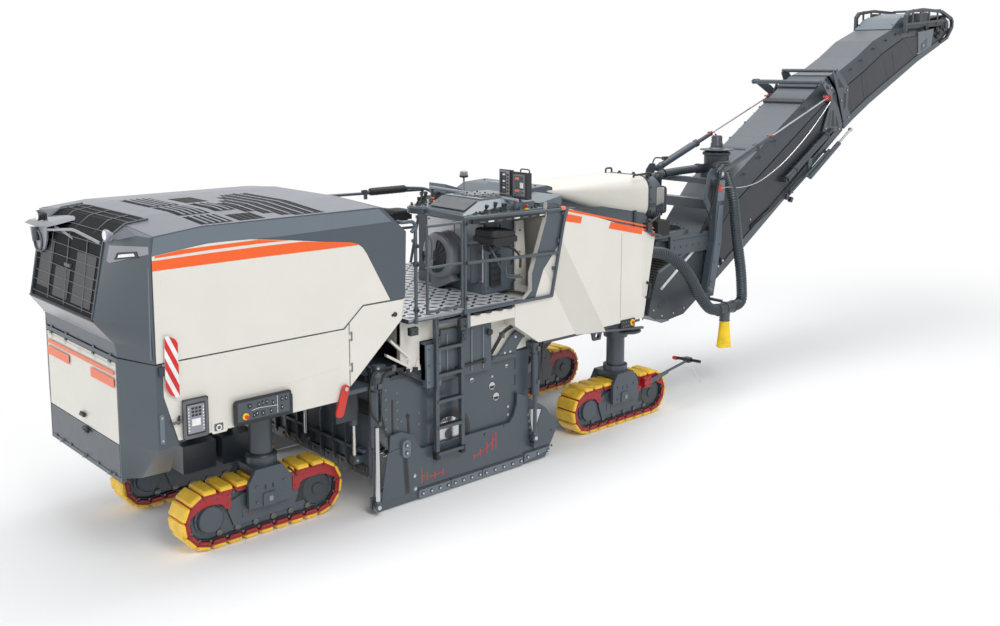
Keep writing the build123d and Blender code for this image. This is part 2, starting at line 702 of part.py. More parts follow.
fan_x = 7870
with BuildPart() as suction_fan:
    slab([(fan_x - 170, cover_z(fan_x - 170)), (fan_x + 170, cover_z(fan_x + 170)), (fan_x + 170, 2990),
          (fan_x - 170, 2990)], -160, 160)
    upright(fan_x, 0, 175, 2990, 3120)
    upright(fan_x, 0, 85, 3120, 3240)
save(suction_fan, "suction_fan")

# Folding cylinders beside the fold hinge, in line with the lower section.
fold_y = 510
fold_barrel_r = 38
fold_eye = 22                       # half length of the rods' eyes
crank = 150                         # fold hinge to the rod's pin
fold_turn = 170                     # degrees that the upper section folds under
belt_angle = math.degrees(math.atan2(fold_z + 70 - 1030, fold_x - 6 - 6620))
crank_angle = belt_angle - (180 - fold_turn) / 2
pin_x = fold_x + crank * math.cos(math.radians(crank_angle))
pin_z = fold_z + crank * math.sin(math.radians(crank_angle))


def along_fold(distance, side):
    """Point on a folding cylinder's axis, so far back from the rod's pin."""
    return (pin_x - distance * math.cos(math.radians(belt_angle)), side * fold_y,
            pin_z - distance * math.sin(math.radians(belt_angle)))


with BuildPart() as fold_barrels:
    for side in (-1, 1):
        rod(along_fold(1300, side), along_fold(380, side), fold_barrel_r)
        rod(along_fold(1290, side), along_fold(380, side), 20 + running, Mode.SUBTRACT)
        foot = along_fold(1250, side)
        block(foot[0] - 50, foot[0] + 50, side * belt_half, side * (fold_y - 25), foot[2] - 30, foot[2] + 260)
save(fold_barrels, "fold_barrels")

with BuildPart() as fold_rods:
    for side in (-1, 1):
        rod(along_fold(760, side), along_fold(0, side), 20)
        across(pin_x, pin_z, 32, side * (fold_y - fold_eye), side * (fold_y + fold_eye))
save(fold_rods, "fold_rods")

upper_profile = [(fold_x + 12, fold_z + 72), (13650, 4790), (nose_x, nose_z - nose_r),
                 (nose_x, nose_z + nose_r), (13300, 5400), (12300, 5260), (12080, 5020), (10200, 4262)]
upper_hollow = [(fold_x - 60, fold_z + 190), (13500, 4900), (nose_x, 5040), (nose_x + 260, 5060),
                (nose_x + 260, 5180), (13300, 5330), (12330, 5190), (12100, 4960), (10180, 4200)]
crank_out = fold_y - fold_barrel_r - 12     # outer face of the crank plates, clear of the barrels
with BuildPart() as conveyor_upper:
    slab(upper_profile, -belt_half, belt_half)
    across(nose_x, nose_z, nose_r, -belt_half, belt_half)
    slab(upper_hollow, -(belt_half - belt_wall), belt_half - belt_wall, Mode.SUBTRACT)
    across(nose_x, nose_z, 130, -(belt_half - belt_wall), belt_half - belt_wall)
    for side in (-1, 1):
        slab([(fold_x + 14, fold_z + 80), (fold_x - 30, fold_z + 28), (fold_x + 10, fold_z - 38),
              (fold_x + 160, fold_z + 90)], side * (belt_half - 55), side * (belt_half - lug_gap))
        slab([(fold_x + 90, fold_z + 50), (fold_x + 170, fold_z + 40), (fold_x + 420, fold_z + 300),
              (fold_x + 120, fold_z + 200)], side * (belt_half - 5), side * crank_out)
        across(pin_x, pin_z, 15, side * crank_out, side * (fold_y - fold_eye - running))
    across(fold_x, fold_z, 30 + running, -belt_half, belt_half, Mode.SUBTRACT)
save(conveyor_upper, "conveyor_upper")

# Luffing cylinders with the ropes that stay the conveyor.
stay_angle = math.atan2(stay_z - yoke_z, stay_x - yoke_x)
stay_length = math.hypot(stay_z - yoke_z, stay_x - yoke_x)
luff_barrel_r = 48
luff_rod_r = 25
barrel_end = 960
rod_end = 1320
rope_r = 12


def along_stay(distance, side):
    """Point on a stay's line, so far from the cylinder's base pin."""
    return (yoke_x + distance * math.cos(stay_angle), side * cylinder_y,
            yoke_z + distance * math.sin(stay_angle))


with BuildPart() as luff_barrels:
    for side in (-1, 1):
        across(yoke_x, yoke_z, 42, side * (cylinder_y - 30), side * (cylinder_y + 30))
        rod(along_stay(25, side), along_stay(barrel_end, side), luff_barrel_r)
        across(yoke_x, yoke_z, 20 + running, side * (cylinder_y - 60), side * (cylinder_y + 60),
               Mode.SUBTRACT)
        rod(along_stay(120, side), along_stay(barrel_end, side), luff_rod_r + running, Mode.SUBTRACT)
save(luff_barrels, "luff_barrels")

with BuildPart() as luff_rods:
    for side in (-1, 1):
        rod(along_stay(340, side), along_stay(rod_end, side), luff_rod_r)
        rod(along_stay(rod_end, side), along_stay(stay_length - 40, side), rope_r)
save(luff_rods, "luff_rods")
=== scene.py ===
import json
import math

import bmesh
import bpy
from mathutils import Matrix, Vector


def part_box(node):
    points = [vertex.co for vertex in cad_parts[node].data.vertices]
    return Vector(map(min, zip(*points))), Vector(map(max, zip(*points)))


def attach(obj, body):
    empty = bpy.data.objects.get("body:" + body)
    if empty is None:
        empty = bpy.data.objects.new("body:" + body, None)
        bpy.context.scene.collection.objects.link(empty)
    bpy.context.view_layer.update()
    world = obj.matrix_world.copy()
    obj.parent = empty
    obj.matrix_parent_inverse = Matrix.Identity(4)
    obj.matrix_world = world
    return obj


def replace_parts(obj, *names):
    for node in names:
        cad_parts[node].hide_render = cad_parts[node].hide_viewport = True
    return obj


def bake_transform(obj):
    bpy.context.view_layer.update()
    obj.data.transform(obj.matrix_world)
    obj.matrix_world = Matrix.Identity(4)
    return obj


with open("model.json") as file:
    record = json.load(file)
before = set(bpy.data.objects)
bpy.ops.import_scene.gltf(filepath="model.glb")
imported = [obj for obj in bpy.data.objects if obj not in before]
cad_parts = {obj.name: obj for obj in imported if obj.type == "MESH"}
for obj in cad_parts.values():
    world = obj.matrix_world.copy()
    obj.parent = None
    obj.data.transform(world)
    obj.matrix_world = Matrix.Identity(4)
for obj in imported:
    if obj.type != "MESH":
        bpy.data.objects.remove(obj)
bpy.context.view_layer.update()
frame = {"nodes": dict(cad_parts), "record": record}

# Metres. Stations (x) are measured forward from the rear lifting columns, as in the model's drawings;
# at() turns them into the model's own frame, whose zero is mid-length on the ground.
column_low, column_high = (Vector(corner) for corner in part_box("lifting_column_rear_right"))
datum = ((column_low + column_high) / 2).x
body_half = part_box("front_body")[1][1]


def at(x, y, z):
    """Point in the model's frame."""
    return Vector((x + datum, y, z))


def around(count):
    """Angles evenly spaced round a circle."""
    return [2 * math.pi * i / count for i in range(count)]


def turned(angle):
    """Direction at an angle in the machine's side plane, and the one a quarter turn clockwise from it."""
    return Vector((math.cos(angle), 0, math.sin(angle))), Vector((math.sin(angle), 0, -math.cos(angle)))


def soften(piece, width, segments, angle):
    """Rounds the edges that are sharper than an angle."""
    edge = piece.modifiers.new("edges", "BEVEL")
    edge.width = width
    edge.segments = segments
    edge.limit_method = "ANGLE"
    edge.angle_limit = math.radians(angle)
    edge.harden_normals = True


def rect(u0, u1, v0, v1):
    """Corners of an upright rectangle in a flat outline."""
    return [(u0, v0), (u1, v0), (u1, v1), (u0, v1)]


def across(side, points):
    """Points given for the left side, put on one side of the machine."""
    return [(x, side * y, z) for x, y, z in points]


# ---------------------------------------------------------------- materials
def socket(shader, name, value):
    shader.inputs[name].default_value = value


def new_material(name):
    """An empty node material with its shader and output."""
    material = bpy.data.materials.new(name)
    material.use_nodes = True
    tree = material.node_tree
    shader = tree.nodes["Principled BSDF"]
    return material, tree, shader


def noise(tree, scale, detail=4.0, rough=0.55, coords=None):
    """Noise in object space, so that it stays on a piece that moves."""
    node = tree.nodes.new("ShaderNodeTexNoise")
    node.inputs["Scale"].default_value = scale
    node.inputs["Detail"].default_value = detail
    node.inputs["Roughness"].default_value = rough
    if coords is None:
        coords = tree.nodes.new("ShaderNodeTexCoord").outputs["Object"]
    tree.links.new(coords, node.inputs["Vector"])
    return node


def ramp(tree, source, stops):
    """Colour ramp over a value."""
    node = tree.nodes.new("ShaderNodeValToRGB")
    elements = node.color_ramp.elements
    while len(elements) < len(stops):
        elements.new(0.5)
    for element, (place, colour) in zip(elements, stops):
        element.position = place
        element.color = (*colour, 1.0)
    tree.links.new(source, node.inputs["Fac"])
    return node


def bump(tree, shader, source, strength, distance=0.002):
    node = tree.nodes.new("ShaderNodeBump")
    node.inputs["Strength"].default_value = strength
    node.inputs["Distance"].default_value = distance
    tree.links.new(source, node.inputs["Height"])
    tree.links.new(node.outputs["Normal"], shader.inputs["Normal"])
    return node


def shade(colour, factor):
    return tuple(min(1.0, channel * factor) for channel in colour)


def paint(name, colour, roughness=0.38, coat=0.25, spread=0.05, grain=0.04):
    """Sprayed enamel: slow changes of tone, a faint orange peel and a thin clear coat."""
    material, tree, shader = new_material(name)
    cloud = noise(tree, 1.7, 6.0, 0.6)
    tone = ramp(tree, cloud.outputs["Fac"], [(0.3, shade(colour, 1 - spread)),
        (0.7, shade(colour, 1 + spread))])
    tree.links.new(tone.outputs["Color"], shader.inputs["Base Color"])
    gloss = noise(tree, 6.0, 5.0, 0.65)
    level = tree.nodes.new("ShaderNodeMapRange")
    level.inputs["To Min"].default_value = roughness - 0.07
    level.inputs["To Max"].default_value = roughness + 0.09
    tree.links.new(gloss.outputs["Fac"], level.inputs["Value"])
    tree.links.new(level.outputs["Result"], shader.inputs["Roughness"])
    peel = noise(tree, 420.0, 2.0, 0.5)
    bump(tree, shader, peel.outputs["Fac"], grain)
    socket(shader, "Coat Weight", coat)
    socket(shader, "Coat Roughness", 0.2)
    return material


def metal(name, colour, roughness=0.3, brushed=0.0):
    """Bare metal with fine marks along X."""
    material, tree, shader = new_material(name)
    coords = tree.nodes.new("ShaderNodeTexCoord")
    mapping = tree.nodes.new("ShaderNodeMapping")
    mapping.inputs["Scale"].default_value = (4.0, 90.0, 90.0)
    tree.links.new(coords.outputs["Object"], mapping.inputs["Vector"])
    streaks = noise(tree, 3.0, 5.0, 0.6, mapping.outputs["Vector"])
    tone = ramp(tree, streaks.outputs["Fac"], [(0.3, shade(colour, 0.86)), (0.7, shade(colour, 1.05))])
    tree.links.new(tone.outputs["Color"], shader.inputs["Base Color"])
    socket(shader, "Metallic", 1.0)
    socket(shader, "Roughness", roughness)
    bump(tree, shader, streaks.outputs["Fac"], 0.02 + brushed)
    return material


def moulded(name, colour, roughness=0.5, grain=0.12, scale=900.0):
    """Moulded plastic or rubber with a fine spark-eroded grain."""
    material, tree, shader = new_material(name)
    cloud = noise(tree, 9.0, 4.0, 0.6)
    tone = ramp(tree, cloud.outputs["Fac"], [(0.3, shade(colour, 0.85)), (0.7, shade(colour, 1.18))])
    tree.links.new(tone.outputs["Color"], shader.inputs["Base Color"])
    grains = noise(tree, scale, 2.0, 0.5)
    bump(tree, shader, grains.outputs["Fac"], grain, 0.001)
    socket(shader, "Roughness", roughness)
    return material


slate_colour = (0.055, 0.072, 0.089)
# Roof slate, lighter than the sides: painted light on the top that faces the sky.
lit_roof_colour = (0.151, 0.161, 0.192)
cream_colour = (0.675, 0.652, 0.59)
orange_colour = (0.8, 0.1, 0.003)
red_colour = (0.36, 0.008, 0.014)

MATERIALS = {
    "slate_paint": paint("slate enamel", slate_colour, 0.4),
    # Slate in painted light: a lighter copy for faces that catch the light.
    "slate_light": paint("lit slate enamel", (0.122, 0.15, 0.178)),
    # Slate in painted shade: a darker copy for parts and faces in shadow.
    "dark_paint": paint("slate enamel in shade", (0.03, 0.036, 0.043), 0.45, 0.15),
    # Slate in deep painted shade, for the conveyor's side walls and sheets in shadow.
    "slate_in_deep_shade": paint("shaded slate enamel", (0.017, 0.022, 0.03), 0.46, 0.15),
    # Slate in painted half shade, for slanted shoulders and walls between light and shadow.
    "slate_in_half_shade": paint("slate enamel in half shade", (0.035, 0.047, 0.058), 0.42, 0.2),
    # Slate in painted light, for the conveyor's top.
    "lit_boom_slate": paint("lit boom slate enamel", (0.098, 0.112, 0.13), 0.42, 0.2),
    # Slate in painted light, for the hood's roof.
    "roof_paint": paint("lit roof slate enamel", lit_roof_colour, 0.45),
    "cream_paint": paint("cream enamel", cream_colour, 0.36, 0.25, 0.03),
    # Cream in painted shade, where shadow falls on the cream body.
    "shaded_cream": paint("shaded cream enamel", (0.585, 0.56, 0.508), 0.38, 0.25, 0.03),
    "orange_paint": paint("orange stripe", orange_colour, 0.36, 0.25, 0.04),
    # A paler copy of the stripe orange.
    "pale_orange": paint("pale orange stripe", (0.78, 0.17, 0.075), 0.4, 0.2, 0.04),
    "red_paint": paint("dark red enamel", red_colour, 0.4, 0.2, 0.08),
    "lever_red": paint("signal red enamel", (0.56, 0.025, 0.012), 0.35, 0.3),
    "cast_grey": metal("cast steel", (0.16, 0.16, 0.165), 0.55, 0.08),
    "bare_metal": metal("bright sheet", (0.6, 0.61, 0.63), 0.28),
    "tread_sheet": paint("bright tread sheet", (0.66, 0.68, 0.71), 0.34, 0.2),
    # Silver paint on some parts; on the corner posts the same colour is a painted highlight on slate.
    "silver_and_highlight": paint("silver enamel and painted highlight", (0.24, 0.25, 0.28), 0.32, 0.3, 0.06),
    "chrome_rod": metal("hard chrome", (0.58, 0.59, 0.61), 0.12),
    "black_plastic": moulded("black moulding", (0.016, 0.017, 0.019), 0.42),
    "grey_plastic": moulded("grey moulding", (0.11, 0.115, 0.125)),
    "black_rubber": moulded("hose rubber", (0.012, 0.012, 0.013), 0.55, 0.2, 500.0),
    "hose_grey": moulded("hose wall", (0.026, 0.038, 0.048), 0.32, 0.1, 300.0),
    "black_mesh": moulded("black screen", (0.004, 0.005, 0.006), 0.6),
    "seat_fabric": moulded("seat vinyl", (0.014, 0.014, 0.016), 0.6, 0.3, 300.0),
    "track_pad": moulded("yellow polyurethane", (0.84, 0.53, 0.045), 0.5, 0.15, 200.0),
    "yellow": moulded("signal yellow moulding", (0.85, 0.58, 0.01), 0.45),
    "red": moulded("signal red moulding", (0.6, 0.012, 0.01), 0.35),
    "white": moulded("white moulding", (0.75, 0.75, 0.74), 0.45),
    "lamp_glass": moulded("lamp lens", (0.82, 0.84, 0.88), 0.08, 0.03, 60.0),
    "mirror_glass": metal("mirror", (0.55, 0.57, 0.6), 0.04),
}
MATERIALS["black_mesh"].node_tree.nodes["Principled BSDF"].inputs["Specular IOR Level"].default_value = 0.12
SLOT_OF = {entry["node"]: entry["material_slot"] for entry in frame["record"]["subparts"]}


# ---------------------------------------------------------------- CAD nodes
def dress(node, material, bevel=0.006, segments=2):
    """Gives a CAD node its finish and softens its edges."""
    piece = frame["nodes"][node]
    if piece.material_slots:
        for place in piece.material_slots:
            place.material = MATERIALS[material]
    else:
        piece.data.materials.append(MATERIALS[material])
    if bevel:
        soften(piece, bevel, segments, 35)


for node_name in frame["nodes"]:
    dress(node_name, SLOT_OF[node_name])


# ---------------------------------------------------------------- shape kit
# Material each copy stands for: the lit and shaded slate and cream copies are painted light and shade on
# slate and cream paint.
SLOT_FOR = {
    "dark_paint": "slate_paint", "slate_in_deep_shade": "slate_paint", "hose_grey": "black_rubber",
    "slate_in_half_shade": "slate_paint", "lit_boom_slate": "slate_paint",
    "tread_sheet": "bare_metal", "slate_light": "slate_paint", "roof_paint": "slate_paint",
    "silver_and_highlight": "slate_paint",
    "shaded_cream": "cream_paint", "white": "cream_paint", "pale_orange": "orange_paint",
    "lever_red": "red_paint", "red": "red_paint", "yellow": "track_pad",
    "grey_plastic": "black_plastic",
}


class Shape:
    """Collects simple solids, each with a material, into one mesh. Points are (station x, y, z)."""

    def __init__(self):
        self.mesh = bmesh.new()
        self.names = []

    def paint_faces(self, faces, material):
        if material not in self.names:
            self.names.append(material)
        index = self.names.index(material)
        for face in faces:
            face.material_index = index

    def solid(self, rings, material):
        """Skin over rings of points, capped at both ends."""
        verts = [[self.mesh.verts.new(point) for point in ring] for ring in rings]
        faces = []
        count = len(rings[0])
        for low, high in zip(verts, verts[1:]):
            for i in range(count):
                j = (i + 1) % count
                faces.append(self.mesh.faces.new((low[i], low[j], high[j], high[i])))
        faces.append(self.mesh.faces.new(list(reversed(verts[0]))))
        faces.append(self.mesh.faces.new(verts[-1]))
        self.paint_faces(faces, material)

    def slab(self, points, offset, material):
        """Flat polygon, thickened by an offset."""
        offset = Vector(offset)
        self.solid([[Vector(p) for p in points], [Vector(p) + offset for p in points]], material)

    def side(self, points, y0, y1, material):
        """Side outline of (x, z) points between two y."""
        self.slab([(x, y0, z) for x, z in points], (0, y1 - y0, 0), material)

    def plan(self, points, z0, z1, material):
        """Plan outline of (x, y) points between two z."""
        self.slab([(x, y, z0) for x, y in points], (0, 0, z1 - z0), material)

    def face(self, points, x0, x1, material):
        """Front outline of (y, z) points between two x."""
        self.slab([(x0, y, z) for y, z in points], (x1 - x0, 0, 0), material)

    def block(self, x0, x1, y0, y1, z0, z1, material):
        self.side(rect(x0, x1, z0, z1), y0, y1, material)

    def bar(self, start, end, radius, material, sides=16, end_radius=None):
        """Round bar or cone between two points."""
        last = radius if end_radius is None else end_radius
        self.lathe(start, Vector(end) - Vector(start), [(radius, 0.0), (last, 1.0)], material, sides)

    def lathe(self, centre, axis, profile, material, sides=24):
        """Turned shape: (radius, share of the axis) steps about an axis."""
        centre, axis = Vector(centre), Vector(axis)
        turn = axis.to_track_quat("Z", "Y")
        rings = []
        for size, share in profile:
            size = max(size, 0.0005)
            angles = around(sides)
            rings.append([centre + axis * share + turn @ Vector((size * math.cos(a), size * math.sin(a), 0))
                for a in angles])
        self.solid(rings, material)

    def ring(self, centre, axis, radius, thick, material, sides=28):
        """Round ring about an axis."""
        turn = Vector(axis).to_track_quat("Z", "Y")
        centre = Vector(centre)
        loops = []
        for a in around(sides):
            middle = centre + turn @ Vector((radius * math.cos(a), radius * math.sin(a), 0))
            out = turn @ Vector((math.cos(a), math.sin(a), 0))
            up = turn @ Vector((0, 0, 1))
            loops.append([self.mesh.verts.new(middle + (out * math.cos(b) + up * math.sin(b)) * thick)
                for b in (math.pi * k / 4 for k in range(8))])
        faces = []
        for i, low in enumerate(loops):
            high = loops[(i + 1) % sides]
            for k in range(8):
                j = (k + 1) % 8
                faces.append(self.mesh.faces.new((low[k], low[j], high[j], high[k])))
        self.paint_faces(faces, material)

    def tube(self, points, radius, material, sides=10, bend=None):
        """Tube along points, its corners rounded by a bend radius."""
        route = rounded([Vector(p) for p in points], bend if bend is not None else radius * 3)
        rings = []
        side_way = None
        for i, point in enumerate(route):
            before = route[max(i - 1, 0)]
            after = route[min(i + 1, len(route) - 1)]
            along = (after - before).normalized()
            if side_way is None:
                side_way = along.orthogonal().normalized()
            else:
                side_way = (side_way - along * side_way.dot(along)).normalized()
            other = along.cross(side_way)
            rings.append([point + (side_way * math.cos(a) + other * math.sin(a)) * radius
                for a in around(sides)])
        self.solid(rings, material)

    def ball(self, centre, radius, material, squash=1.0):
        place = Matrix.Translation(centre) @ Matrix.Diagonal((1, 1, squash, 1))
        made = bmesh.ops.create_uvsphere(self.mesh, u_segments=18, v_segments=10, radius=radius,
            matrix=place)
        self.paint_faces({face for vert in made["verts"] for face in vert.link_faces}, material)

    def bolt(self, centre, way, radius=0.012, height=0.01, material="cast_grey"):
        """Hexagon head that stands out along a direction."""
        way = Vector(way).normalized()
        self.bar(Vector(centre) - way * 0.002, Vector(centre) + way * height, radius, material, 6)

    def finish(self, name, body, bevel=0.003, segments=2, smooth=40, slot=None):
        """Makes the object, which rides on a body if one is named."""
        bmesh.ops.translate(self.mesh, verts=self.mesh.verts, vec=(datum, 0, 0))
        bmesh.ops.recalc_face_normals(self.mesh, faces=self.mesh.faces)
        data = bpy.data.meshes.new(name)
        self.mesh.to_mesh(data)
        self.mesh.free()
        for material in self.names:
            data.materials.append(MATERIALS[material])
        piece = bpy.data.objects.new(name, data)
        bpy.context.collection.objects.link(piece)
        data.shade_smooth()
        data.set_sharp_from_angle(angle=math.radians(smooth))
        if bevel:
            soften(piece, bevel, segments, smooth)
        if body:
            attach(piece, body)
        slot or SLOT_FOR.get(self.names[0], self.names[0])
        return piece


def rounded(points, radius, steps=5):
    """Corner points replaced by short arcs."""
    if len(points) < 3 or radius <= 0:
        return points
    route = [points[0]]
    for before, corner, after in zip(points, points[1:], points[2:]):
        back = before - corner
        ahead = after - corner
        reach = min(radius, back.length * 0.48, ahead.length * 0.48)
        first = corner + back.normalized() * reach
        last = corner + ahead.normalized() * reach
        for i in range(steps + 1):
            t = i / steps
            route.append(first * (1 - t) ** 2 + corner * 2 * t * (1 - t) + last * t ** 2)
    route.append(points[-1])
    return route


def rounded_box(low, high, radius, steps=3):
    """Corners of a rectangle with rounded corners, counter-clockwise."""
    points = []
    for cx, cy, start in ((high[0], high[1], 0), (low[0], high[1], 90), (low[0], low[1], 180),
            (high[0], low[1], 270)):
        mx = cx - radius if cx == high[0] else cx + radius
        my = cy - radius if cy == high[1] else cy + radius
        for i in range(steps + 1):
            a = math.radians(start + 90 * i / steps)
            points.append((mx + radius * math.cos(a), my + radius * math.sin(a)))
    return points


# ---------------------------------------------------------------- track units
def corners_of(node):
    """A CAD node's lowest and highest corner, with x as a station."""
    low, high = (Vector(corner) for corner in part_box(node))
    low.x -= datum
    high.x -= datum
    return low, high


pads_per_track = 25


def track_loop(name):
    """Pads on red shoes with their chain, in place of the plain CAD loop."""
    low, high = corners_of("track_" + name)
    y = (low.y + high.y) / 2
    half = (high.y - low.y) / 2
    radius = (high.z - low.z) / 2
    run = high.x - low.x - 2 * radius
    turn = math.pi * radius
    length = 2 * run + 2 * turn

    def place(distance):
        """Station, height and heading of a point so far round the loop, from the rear of the ground run."""
        distance %= length
        if distance < run:
            return low.x + radius + distance, 0.0, 0.0
        distance -= run
        if distance < turn:
            angle = distance / radius
            return high.x - radius + radius * math.sin(angle), radius - radius * math.cos(angle), angle
        distance -= turn
        if distance < run:
            return high.x - radius - distance, 2 * radius, math.pi
        angle = (distance - run) / radius
        return low.x + radius - radius * math.sin(angle), radius + radius * math.cos(angle), math.pi + angle

    def local(spot, outline, y0, y1, material, shape):
        """Outline of (along, outward) points about a spot of the loop, between two y."""
        x, z, heading = spot
        ahead, out = turned(heading)
        origin = Vector((x, 0, z))
        ring = [origin + ahead * t + out * n for t, n in outline]
        shape.slab([(p.x, y0, p.z) for p in ring], (0, y1 - y0, 0), material)

    loop = Shape()
    pitch = length / pads_per_track
    for i in range(pads_per_track):
        spot = place((i + 0.5) * pitch)
        sink = -0.006 if abs(math.sin(spot[2])) > 0.01 else 0.0
        # Polyurethane pad, narrower towards the ground and at its ends.
        x, z, heading = spot
        ahead, out = turned(heading)
        rings = []
        for offset, foot, top in ((-half, 0.058, -0.016), (-half + 0.016, 0.066, 0.0),
                (half - 0.016, 0.066, 0.0), (half, 0.058, -0.016)):
            outline = [(-foot, -0.042), (-foot, -0.022), (-foot + 0.014, sink + top),
                (foot - 0.014, sink + top), (foot, -0.022), (foot, -0.042)]
            rings.append([Vector((x, y + offset, z)) + ahead * t + out * n for t, n in outline])
        loop.solid(rings, "track_pad")
        # Steel shoe with upturned lugs and its bolts.
        local(spot, [(-0.079, -0.058), (-0.079, -0.044), (0.079, -0.044), (0.079, -0.058)],
            y - half + 0.004, y + half - 0.004, "red_paint", loop)
        for way in (-1, 1):
            edge = y + way * (half - 0.006)
            local(spot, [(-0.07, -0.058), (-0.05, -0.086), (0.05, -0.086), (0.07, -0.058)],
                edge - way * 0.02, edge, "red_paint", loop)
            for t in (-0.034, 0.034):
                point = Vector((x, edge, z)) + ahead * t - out * 0.07
                loop.bolt(point, (0, way, 0), 0.009, 0.006)
            local(spot, [(-0.082, -0.082), (-0.074, -0.064), (0.074, -0.064), (0.082, -0.082),
                (0.074, -0.1), (0.03, -0.104), (-0.03, -0.104), (-0.074, -0.1)], edge - way * 0.05,
                edge - way * 0.024, "black_plastic", loop)
        spot = place(i * pitch)
        pin = Vector((spot[0], 0, spot[1])) - Vector((math.sin(spot[2]), 0, -math.cos(spot[2]))) * 0.084
        loop.bar((pin.x, y - half + 0.018, pin.z), (pin.x, y + half - 0.018, pin.z), 0.015, "cast_grey", 12)
    piece = loop.finish(f"track_loop_{name}", f"track_{name}", 0.003, 1)
    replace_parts(piece, f"track_{name}")


def track_covers(name):
    """Fenders, hub, rollers and fittings on both faces of a track frame."""
    low, high = corners_of("track_" + name)
    y = (low.y + high.y) / 2
    radius = (high.z - low.z) / 2
    column = (low.x + high.x) / 2 + 0.04        # station of the lifting column
    rear_wheel = low.x + radius
    front_wheel = high.x - radius
    hub_z, hub_bolts = 0.295, 0.139             # height of the drive hub, radius of its bolt circle
    foot_bolts = 0.137                          # radius of the bolt circle at the column's foot
    covers = Shape()
    for way in (-1, 1):

        def plate(points, near, far, material):
            covers.side([(column + px, pz) for px, pz in points], y + way * near, y + way * far, material)

        # Dark red fenders inside the chain, with a rounded lug at their inner ends.
        plate([(-0.83, 0.36), (-0.8, 0.43), (-0.72, 0.49), (-0.62, 0.512), (-0.4, 0.512), (-0.4, 0.36),
            (-0.415, 0.347), (-0.44, 0.345), (-0.465, 0.36), (-0.485, 0.395), (-0.52, 0.415),
            (-0.62, 0.425), (-0.72, 0.405), (-0.78, 0.365)], 0.128, 0.14, "red_paint")
        plate([(0.755, 0.36), (0.725, 0.43), (0.645, 0.49), (0.55, 0.512), (0.25, 0.512), (0.25, 0.35),
            (0.265, 0.337), (0.3, 0.335), (0.325, 0.355), (0.335, 0.395), (0.37, 0.42), (0.55, 0.43),
            (0.64, 0.405), (0.7, 0.365)], 0.128, 0.14, "red_paint")
        for px, pz in ((-0.43, 0.39), (-0.43, 0.47), (-0.53, 0.46), (0.285, 0.38), (0.285, 0.47),
                (0.38, 0.465)):
            covers.bolt((column + px, y + way * 0.14, pz), (0, way, 0), 0.01, 0.006)
        # Drive hub at the rear, idler at the front, and the lower rollers.
        covers.lathe((rear_wheel, y + way * 0.095, hub_z), (0, way * 0.062, 0),
            [(0.15, 0), (0.15, 0.35), (0.132, 0.45), (0.128, 0.86), (0.118, 1.0)], "slate_paint", 32)
        covers.ring((rear_wheel, y + way * 0.152, hub_z), (0, 1, 0), 0.121, 0.008, "dark_paint", 32)
        for a in around(10):
            covers.bolt((rear_wheel + hub_bolts * math.cos(a), y + way * 0.118,
                hub_z + hub_bolts * math.sin(a)), (0, way, 0), 0.009)
        covers.lathe((front_wheel, y + way * 0.098, 0.28), (0, way * 0.034, 0),
            [(0.165, 0), (0.15, 0.5), (0.06, 0.6), (0.055, 1.0)], "dark_paint", 28)
        plate([(0.3, 0.44), (0.56, 0.44), (0.6, 0.25), (0.56, 0.2), (0.3, 0.2)], 0.098, 0.11,
            "black_plastic")
        for i in range(6):
            px = rear_wheel + 0.1 + i * (front_wheel - rear_wheel - 0.2) / 5
            covers.lathe((px, y + way * 0.06, 0.128), (0, way * 0.06, 0),
                [(0.046, 0), (0.046, 0.4), (0.034, 0.45), (0.034, 0.9), (0.02, 1.0)], "cast_grey", 18)
        # Side plate of the frame, keeper of the swing pin, slots and small covers.
        plate([(-0.4, 0.4), (-0.43, 0.32), (-0.37, 0.155), (0.27, 0.17), (0.32, 0.3), (0.32, 0.44),
            (0.0, 0.46), (-0.26, 0.45)], 0.099, 0.124, "slate_paint")
        plate([(-0.285, 0.3), (-0.285, 0.215), (-0.185, 0.215), (-0.185, 0.3)], 0.122, 0.129, "slate_paint")
        covers.block(column - 0.215, column - 0.205, y + way * 0.128, y + way * 0.133, 0.235, 0.28, "red")
        plate(rounded_box((-0.105, 0.295), (0.035, 0.425), 0.02), 0.195, 0.209, "slate_paint")
        plate(rounded_box((-0.045, 0.335), (-0.005, 0.385), 0.008), 0.207, 0.216, "silver_and_highlight")
        for px in (-0.075, 0.005):
            plate(rounded_box((px - 0.01, 0.455), (px + 0.01, 0.505), 0.008), 0.19, 0.1985, "black_plastic")
        plate([(0.06, 0.31), (0.14, 0.315), (0.14, 0.4), (0.06, 0.395)], 0.1965, 0.1995, "slate_paint")
        for px, pz in ((-0.165, 0.5), (-0.165, 0.35), (0.125, 0.5)):
            covers.bolt((column + px, y + way * 0.1975, pz), (0, way, 0), 0.013, 0.008)
        # Grease hose from the saddle down behind the fender.
        covers.tube([(column + 0.19, y + way * 0.165, 0.6), (column + 0.26, y + way * 0.15, 0.53),
            (column + 0.33, y + way * 0.122, 0.44), (column + 0.33, y + way * 0.12, 0.34)], 0.009,
            "black_rubber", 8, 0.04)
    # Collar and bolts of the column's foot.
    boss_top = corners_of("track_frame_" + name)[1].z
    rise = 0.03 if name.startswith("rear") else 0.004      # the front sleeves come down to the foot
    covers.lathe((column, y, boss_top - 0.002), (0, 0, rise), [(0.15, 0), (0.148, 0.4), (0.128, 1.0)],
        "dark_paint", 36)
    for a in around(12):
        covers.bolt((column + foot_bolts * math.cos(a), y + foot_bolts * math.sin(a), boss_top), (0, 0, 1),
            0.01, rise * 0.45)
    covers.finish(f"track_covers_{name}", f"track_{name}")


for corner in ("rear_right", "rear_left", "front_right", "front_left"):
    track_loop(corner)
    track_covers(corner)


